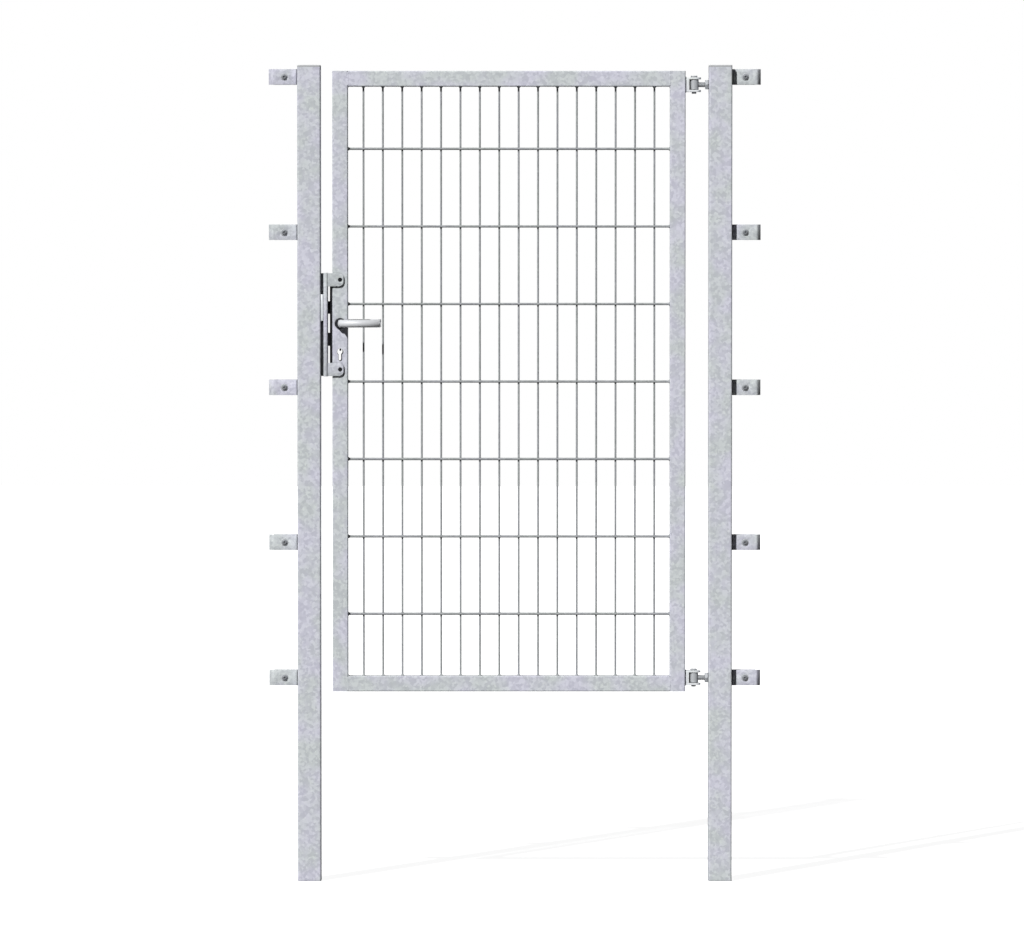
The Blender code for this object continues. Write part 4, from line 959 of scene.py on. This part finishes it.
for place in ("top", "bottom"):
    eye_low, eye_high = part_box(f"eye_bolt_{place}")
    nut_low, nut_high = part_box(f"lock_nut_{place}")
    pin_low, pin_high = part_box(f"hinge_pin_{place}")
    pin_x = centre(f"hinge_pin_{place}").x
    nut_x, _, shank_z = centre(f"lock_nut_{place}")
    barrel_radius = pin_x - eye_low.x
    barrel_place = Matrix.Translation((pin_x, middle_y, centre(f"eye_bolt_{place}").z))
    barrel_shape = turned(ring_profile(PIN_BORE / 2, barrel_radius, eye_high.z - eye_low.z,
                                       BARREL_EDGE))
    shank_start = pin_x + barrel_radius - BARREL_EDGE
    shank_place = Matrix.Translation(((eye_high.x + shank_start) / 2, middle_y, shank_z)) @ ALONG_X
    shank = threaded_bar(SHANK_SIZE, eye_high.x - shank_start, SHANK_PITCH, zinc_plate, SHANK_SIDES)
    shank.transform(shank_place)
    eye_bolt = joined(to_mesh(barrel_shape, zinc_plate, barrel_place), shank)
    add_piece(f"eye_bolt_m14_{place}", eye_bolt, "posts", "hardware", f"eye_bolt_{place}")
    nut_place = Matrix.Translation((nut_x, middle_y, shank_z)) @ ALONG_X
    nut_shape = turned(nut_profile(LOCK_NUT_FLATS, nut_high.x - nut_low.x, SHANK_SIZE / 2))
    add_piece(f"hexagon_nut_m14_{place}", to_mesh(nut_shape, zinc_plate, nut_place), "posts",
              "hardware", f"lock_nut_{place}")
    seat_z = pin_high.z - PIN_HEAD_HEIGHT
    pin_shape = turned(pin_profile((pin_high.x - pin_low.x) / 2, PIN_SIZE / 2, PIN_HEAD_HEIGHT,
                                   seat_z - pin_low.z, PIN_EDGE))
    pin_place = Matrix.Translation((pin_x, middle_y, seat_z))
    add_piece(f"headed_pin_{place}", to_mesh(pin_shape, zinc_plate, pin_place), "leaf", "hardware",
              f"hinge_pin_{place}")


# Lock
# A mortice lock let into the latch stile: a dark steel forend one with its case, held by two
# countersunk screws, with a spring latch and a dead bolt. Rolled strip, brushed along its length.

FOREND_SCREW_HEAD = 0.0075
FOREND_SCREW_INSET = 0.0085
FOREND_SOCKET = 0.003
FOREND_SOCKET_DEPTH = 0.0010
HEAD_PROUD = 0.0002
HEAD_CHAMFER = 0.0004
HEAD_SIDE = 0.0001
HEAD_DEPTH = 0.0020
HEAD_FOOT_SHARE = 0.6
NOSE_WIDTH = 0.0045
NOSE_HEIGHT = 0.0058
NOSE_DEPTH = 0.010
KEYHOLE_TOP_BELOW_LEVER = 0.0650
KEYHOLE_CIRCLE = 0.017
KEYHOLE_SLOT = 0.010
KEYHOLE_HEIGHT = 0.033
KEYHOLE_STEPS = 20
STILE_WALL = 0.002
PACKING_DEPTH = 0.004
PACKING_WALL = 0.004
# How far the packing's window reaches into the hole and is shifted, to show the painted shadow.
PAINTED_SHADE_EDGE = -0.0004
PAINTED_SHADE_SHIFT = (-0.0022, 0.0020)
FOREND_WIDTH = 0.024
EDGING_WIDTH = 0.005
EDGING_DEPTH = 0.0016
EDGING_WALL = 0.0005
BRUSH_LINES_MM = 0.8
BRUSH_STRETCH = 0.03
BRUSH_BUMP = 0.2
BRUSH_SPREAD = 0.07


def brushed_steel(name, colours, roughness, metallic, sheen):
    """Steel strip with fine brush lines up and down, drawn 0.8 mm apart so that they show."""
    material, tree, place = begun(name)
    stretched = add_node(tree, "ShaderNodeMapping", values={"Scale": (1.0, 1.0, BRUSH_STRETCH)},
                         links={"Vector": place})
    lines = add_node(tree, "ShaderNodeTexNoise", links={"Vector": stretched.outputs[0]},
                     values={"Scale": per_metre(BRUSH_LINES_MM), "Detail": 2.0}).outputs["Fac"]
    tint = add_node(tree, "ShaderNodeMix", {"data_type": "RGBA"},
                    {6: linear(colours[0]), 7: linear(colours[1])}, {0: lines})
    return finished(material, tint.outputs[2], lines, BRUSH_BUMP, MARKS_RELIEF, roughness, sheen,
                    metallic, lines, BRUSH_SPREAD)


def countersunk_head(angle):
    """A flat head level with its seat's rim at height 0, with a hexagon socket."""
    socket = hexagon(FOREND_SOCKET, angle)
    radius = FOREND_SCREW_HEAD / 2
    return ((0, -FOREND_SOCKET_DEPTH - HEAD_PROUD), (socket, -FOREND_SOCKET_DEPTH),
            (socket, HEAD_PROUD), (radius - HEAD_CHAMFER, HEAD_PROUD), (radius, -HEAD_SIDE),
            (radius * HEAD_FOOT_SHARE, -HEAD_DEPTH), (0, -HEAD_DEPTH))


# Burnished nearly black, satin, with a trace of purple.
burnished = brushed_steel("burnished_steel", ("343236", "403E43"), roughness=0.42, metallic=0.15,
                          sheen=0.2)
for lock_piece, body, node in (("mortice_lock", "leaf", "lock_case"),
                               ("spring_latch", "latch", "latch_bolt"),
                               ("square_dead_bolt", "deadbolt", "dead_bolt")):
    add_piece(lock_piece, softened((node,), RIM_ROUNDING, burnished), body, "lock", node)

forend_low, forend_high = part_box("lock_case")
# The forend's screws are in the same plate, coloured dark as a painted reflection.
forend_screw = to_mesh(turned(countersunk_head), dark_painted_plate, Matrix.Rotation(-math.pi / 2, 4, "Y"))
forend_places = [(forend_low.x, middle_y, z) for z in (forend_low.z + FOREND_SCREW_INSET,
                                                       forend_high.z - FOREND_SCREW_INSET)]
add_piece("forend_screws", copies(forend_screw, forend_places), "leaf", "hardware")

# A strip of black nylon edges the forend at the front and at the back. It stands a little proud of
# it, and covers the raw edge of the cut in the stile.
packing_nylon = moulded_plastic("black_packing_nylon", "1C1D20", roughness=0.5, sheen=0.1,
                                grain_mm=0.6, bump=0.3)
edging_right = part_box("latch_stile")[0].x - SEAT_GAP
for side_name, side in (("front", -1), ("back", 1)):
    outer_y = middle_y + side * (FOREND_WIDTH / 2 + EDGING_WALL)
    inner_y = outer_y - side * EDGING_WIDTH
    edging_outline = rounded_outline((forend_low.x - EDGING_DEPTH, min(outer_y, inner_y)),
                                     (edging_right, max(outer_y, inner_y)), EDGING_WALL)
    edging = slab(edging_outline, forend_low.z - EDGING_WALL, forend_high.z + EDGING_WALL)
    add_piece(f"edging_{side_name}", to_mesh(edging, packing_nylon), "leaf", "lock")

lever_x, _, lever_z = centre("rosette_front")
keyhole_z = lever_z - KEYHOLE_TOP_BELOW_LEVER - KEYHOLE_CIRCLE / 2


def keyhole_outline(grow, shift):
    """The outline of a profile cylinder hole about its circle, grown all round and shifted."""
    radius = KEYHOLE_CIRCLE / 2 + grow
    half_slot = KEYHOLE_SLOT / 2 + grow
    open_angle = math.asin(half_slot / radius)
    foot = KEYHOLE_CIRCLE / 2 - KEYHOLE_HEIGHT + KEYHOLE_SLOT / 2
    outline = []
    for step in range(KEYHOLE_STEPS + 1):
        turn = open_angle - math.pi / 2 + (math.tau - 2 * open_angle) * step / KEYHOLE_STEPS
        outline.append((radius * math.cos(turn), radius * math.sin(turn)))
    for step in range(KEYHOLE_STEPS + 1):
        turn = math.pi + math.pi * step / KEYHOLE_STEPS
        outline.append((half_slot * math.cos(turn), foot + half_slot * math.sin(turn)))
    return [(x + shift[0], z + shift[1]) for x, z in outline]


def frame_slab(outer, inner, low, high):
    """A slab between two outlines of as many points, from low to high."""
    shape = bmesh.new()
    loops = [[shape.verts.new((x, y, height)) for x, y in outline]
             for outline, height in ((outer, low), (outer, high), (inner, high), (inner, low))]
    for loop, following in zip(loops, loops[1:] + loops[:1]):
        for place in range(len(loop)):
            after = (place + 1) % len(loop)
            shape.faces.new((loop[place], loop[after], following[after], following[place]))
    return shape


# Black packing fills the stile between its walls and the case. Its window sits a little high and to
# the left of the keyhole in the wall, so its black edge shows at the lower right as a painted
# shadow along the hole's edge.
packing_shape = frame_slab(keyhole_outline(PACKING_WALL, (0, 0)),
                           keyhole_outline(PAINTED_SHADE_EDGE, PAINTED_SHADE_SHIFT), -PACKING_DEPTH / 2,
                           PACKING_DEPTH / 2)
packing_inset = STILE_WALL + SEAT_GAP + PACKING_DEPTH / 2
for side_name, packing_y in (("front", leaf_front + packing_inset),
                             ("back", leaf_rear - packing_inset)):
    packing_place = Matrix.Translation((lever_x, packing_y, keyhole_z)) @ TOWARD_VIEWER
    packing = to_mesh(packing_shape.copy(), packing_nylon, packing_place)
    add_piece(f"packing_{side_name}", packing, "leaf", "lock")
packing_shape.free()

# The nose that throws the dead bolt hangs into the top of the keyhole, where a key cylinder would
# push it. It is plain steel, coloured as black as the packing as painted shade for the shadow it
# hangs in.
nose_top = keyhole_z + KEYHOLE_CIRCLE / 2
nose_outline = rounded_outline((lever_x - NOSE_WIDTH / 2, nose_top - NOSE_HEIGHT),
                               (lever_x + NOSE_WIDTH / 2, nose_top), NOSE_WIDTH / 4)
nose_place = Matrix.Translation((0, middle_y, 0)) @ TOWARD_VIEWER
nose_shape = slab(nose_outline, -NOSE_DEPTH / 2, NOSE_DEPTH / 2)
shade_black_steel = moulded_plastic("steel_painted_shade_black", "1C1D20", roughness=0.45, sheen=0.2,
                              grain_mm=0.5, bump=0.2)
add_piece("follower_nose", to_mesh(nose_shape, shade_black_steel, nose_place), "leaf", "lock")


# Rosettes
# A ring moulded in black nylon covers the lever's hole on each face of the stile. It is matt, and
# has a rounded shoulder and a tapered hub that stands up round the lever's neck to guide it.

ROSETTE_SIDES = 64
ROSETTE_SHOULDER = 0.0016
SHOULDER_STEPS = 6
ROSETTE_HOLE = 0.0069
HUB_FOOT = 0.0122
HUB_TOP = 0.0115
HUB_HEIGHT = 0.020
HUB_EDGE = 0.0012
black_nylon = moulded_plastic("black_glass_filled_nylon", "202125", roughness=0.5, sheen=0.12,
                              grain_mm=0.6, bump=0.35)


def rosette_profile(radius, height):
    """The profile of a rosette that rises from height 0, with a rounded shoulder and a hub."""
    shoulder = [(radius - ROSETTE_SHOULDER * (1 - math.sin(turn)),
                 height - ROSETTE_SHOULDER * (1 - math.cos(turn)))
                for turn in (math.pi / 2 * step / SHOULDER_STEPS
                             for step in range(SHOULDER_STEPS + 1))]
    profile = [(ROSETTE_HOLE, 0), (ROSETTE_HOLE, HUB_HEIGHT), (HUB_TOP - HUB_EDGE, HUB_HEIGHT),
               (HUB_TOP, HUB_HEIGHT - HUB_EDGE), (HUB_FOOT, height)]
    profile += shoulder + [(radius, 0), (ROSETTE_HOLE, 0)]
    return lambda angle: profile


rosette_low, rosette_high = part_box("rosette_front")
for side_name, face_y, facing in (("front", rosette_high.y, -1),
                                  ("back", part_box("rosette_back")[0].y, 1)):
    rosette_shape = turned(rosette_profile((rosette_high.x - rosette_low.x) / 2,
                                           rosette_high.y - rosette_low.y), ROSETTE_SIDES)
    outward = Matrix.Rotation(-facing * math.pi / 2, 4, "X")
    rosette_place = Matrix.Translation((lever_x, face_y, lever_z)) @ outward
    add_piece(f"nylon_rosette_{side_name}", to_mesh(rosette_shape, black_nylon, rosette_place),
              "leaf", "rosette", f"rosette_{side_name}")


# Levers
# Die-cast aluminium, satin anodised: a flat neck swells through a tight bend into a round grip that
# is bowed outward and cut off square. The front one carries the 8 mm square spindle.

NECK_BASE = 0.013
NECK_BASE_END = 0.006
NECK = 0.0090
NECK_HEIGHT = 0.0190
NECK_FLARE_END = 0.024
SWELL = 1.3
GRIP = 0.020
BEND = 0.013
BOW = 0.075
BOW_START = math.radians(36.0)
GRIP_PROJECTION = 0.077
GRIP_LENGTH = 0.104
END_ROUNDING = 0.0004
LEVER_SIDES = 48
BEND_STEPS = 14
BOW_STEPS = 22
SPINDLE = 0.008
SPINDLE_INSERTION = 0.015
SPINDLE_CORNER = 0.0006


def grip_rings():
    """The lever's sections: along the grip, away from the stile, tangent, width and height."""
    bow_along = BEND * (1 - math.sin(BOW_START))
    bow_out = GRIP_PROJECTION - GRIP / 2 - BOW * (1 - math.cos(BOW_START))
    neck_end = bow_out - BEND * math.cos(BOW_START)
    rings = [(0.0, out, 0.0, width, height) for out, width, height in (
        (SEAT_GAP, NECK_BASE, NECK_BASE), (NECK_BASE_END, NECK_BASE, NECK_BASE),
        (HUB_HEIGHT, NECK, NECK_BASE), (NECK_FLARE_END, NECK, NECK_HEIGHT),
        (neck_end, NECK, NECK_HEIGHT))]
    for step in range(1, BEND_STEPS + 1):
        share = step / BEND_STEPS
        turn = share * (math.pi / 2 - BOW_START)
        rings.append((BEND * (1 - math.cos(turn)), neck_end + BEND * math.sin(turn), turn,
                      NECK + (GRIP - NECK) * share ** SWELL,
                      NECK_HEIGHT + (GRIP - NECK_HEIGHT) * share))
    finish = math.asin(math.sin(BOW_START) - (GRIP_LENGTH + GRIP / 2 - bow_along) / BOW)
    for step in range(1, BOW_STEPS + 1):
        slope = BOW_START + (finish - BOW_START) * step / BOW_STEPS
        rings.append((bow_along + BOW * (math.sin(BOW_START) - math.sin(slope)),
                      bow_out + BOW * (math.cos(slope) - math.cos(BOW_START)),
                      math.pi / 2 - slope, GRIP, GRIP))
    return rings


def lever_shape(facing):
    """A lever as a closed shape about its axis, reaching along +X and out along Y times facing.

    The grip is drawn longer than it is and then sawn off square to the X axis.
    """
    shape = bmesh.new()
    rows = []
    for along, out, turn, width, height in grip_rings():
        ring = []
        for side in range(LEVER_SIDES):
            angle = math.tau * side / LEVER_SIDES
            wide = width / 2 * math.cos(angle)
            ring.append(shape.verts.new((along + wide * math.cos(turn),
                                         facing * (out - wide * math.sin(turn)),
                                         height / 2 * math.sin(angle))))
        rows.append(ring)
    for row, following in zip(rows, rows[1:]):
        for side in range(LEVER_SIDES):
            after = (side + 1) % LEVER_SIDES
            shape.faces.new((row[side], row[after], following[after], following[side]))
    shape.faces.new(rows[0])
    everything = shape.verts[:] + shape.edges[:] + shape.faces[:]
    sawn = bmesh.ops.bisect_plane(shape, geom=everything, plane_co=(GRIP_LENGTH, 0, 0),
                                  plane_no=(1, 0, 0), clear_outer=True)["geom_cut"]
    rim = [part for part in sawn if isinstance(part, bmesh.types.BMEdge)]
    bmesh.ops.edgeloop_fill(shape, edges=rim)
    bmesh.ops.bevel(shape, geom=rim, offset=END_ROUNDING, segments=RIM_STEPS, profile=ROUND,
                    affect="EDGES")
    return shape


# The anodised skin is even and grey, and as hard and smooth as the plate on the hinges. Its broad
# soft gloss goes white where it faces the sun.
anodised = plated_metal("anodised_aluminium", ("CACCCF", "D2D4D7"), roughness=0.45, metallic=0.0,
                        sheen=0.9)
for side_name, face_y, facing in (("front", leaf_front, -1), ("back", leaf_rear, 1)):
    lever_place = Matrix.Translation((lever_x, face_y, lever_z))
    lever_mesh = to_mesh(lever_shape(facing), anodised, lever_place)
    if side_name == "front":
        half_spindle = SPINDLE / 2
        spindle_outline = rounded_outline((-half_spindle, -half_spindle),
                                          (half_spindle, half_spindle), SPINDLE_CORNER)
        spindle_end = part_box("lever_front")[1].y
        spindle = slab(spindle_outline, -spindle_end, SPINDLE_INSERTION - leaf_front)
        spindle_place = Matrix.Translation((lever_x, 0, lever_z)) @ TOWARD_VIEWER
        lever_mesh = joined(lever_mesh, to_mesh(spindle, anodised, spindle_place))
    add_piece(f"bowed_lever_{side_name}", lever_mesh, "lever", "lever", f"lever_{side_name}")


# Strike
# A long box folded of 3 mm sheet, on a base plate that is welded to the latch post. Two openings
# take the latch and the dead bolt, and two tabs in front of the leaf stop it. Dipped with the post.

add_piece("folded_strike", softened(("strike",), RIM_ROUNDING, dipped_zinc), "posts", "galvanised",
          "strike")


# Keeper insert
# A strip of stainless steel between the post and the strike's box, in front of the base plate. It
# is rolled bright, and stands out pale from the zinc round it.

stainless = brushed_steel("bright_rolled_stainless_steel", ("CACED2", "D6DADD"), roughness=0.34,
                          metallic=0.2, sheen=0.5)
add_piece("keeper_clip", softened(("keeper_insert",), RIM_ROUNDING / 2, stainless), "posts",
          "insert", "keeper_insert")


# Buffers
# Two buttons moulded in black rubber, each with a stem pressed through one of the strike's tabs.
# They take the blow of the leaf as it closes.

BUFFER_STEM = 0.0105
BUFFER_HEAD_DEPTH = 0.0024
BUFFER_EDGE = 0.0008
STEM_EDGE_SHARE = 0.3
AWAY_FROM_VIEWER = Matrix.Rotation(-math.pi / 2, 4, "X")
black_rubber = moulded_plastic("black_rubber", "18191B", roughness=0.7, sheen=0.1, grain_mm=0.5,
                               bump=0.3)


def button_profile(stem, head, head_depth, depth, edge):
    """The profile of a button that rises from its visible stem at height 0 to its head."""
    shoulder = depth - head_depth
    break_edge = edge * STEM_EDGE_SHARE
    return lambda angle: (
        (0, 0), (stem - edge, 0), (stem - break_edge, break_edge), (stem, edge), (stem, shoulder),
        (head - edge, shoulder), (head, shoulder + edge), (head, depth - edge),
        (head - edge, depth), (0, depth))


for place in ("top", "bottom"):
    button_low, button_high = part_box(f"buffer_{place}")
    button_shape = turned(button_profile(
        BUFFER_STEM / 2, (button_high.x - button_low.x) / 2, BUFFER_HEAD_DEPTH,
        button_high.y - button_low.y, BUFFER_EDGE))
    button_x, _, button_z = centre(f"buffer_{place}")
    button_place = Matrix.Translation((button_x, button_low.y, button_z)) @ AWAY_FROM_VIEWER
    add_piece(f"rubber_buffer_{place}", to_mesh(button_shape, black_rubber, button_place), "posts",
              "rubber", f"buffer_{place}")
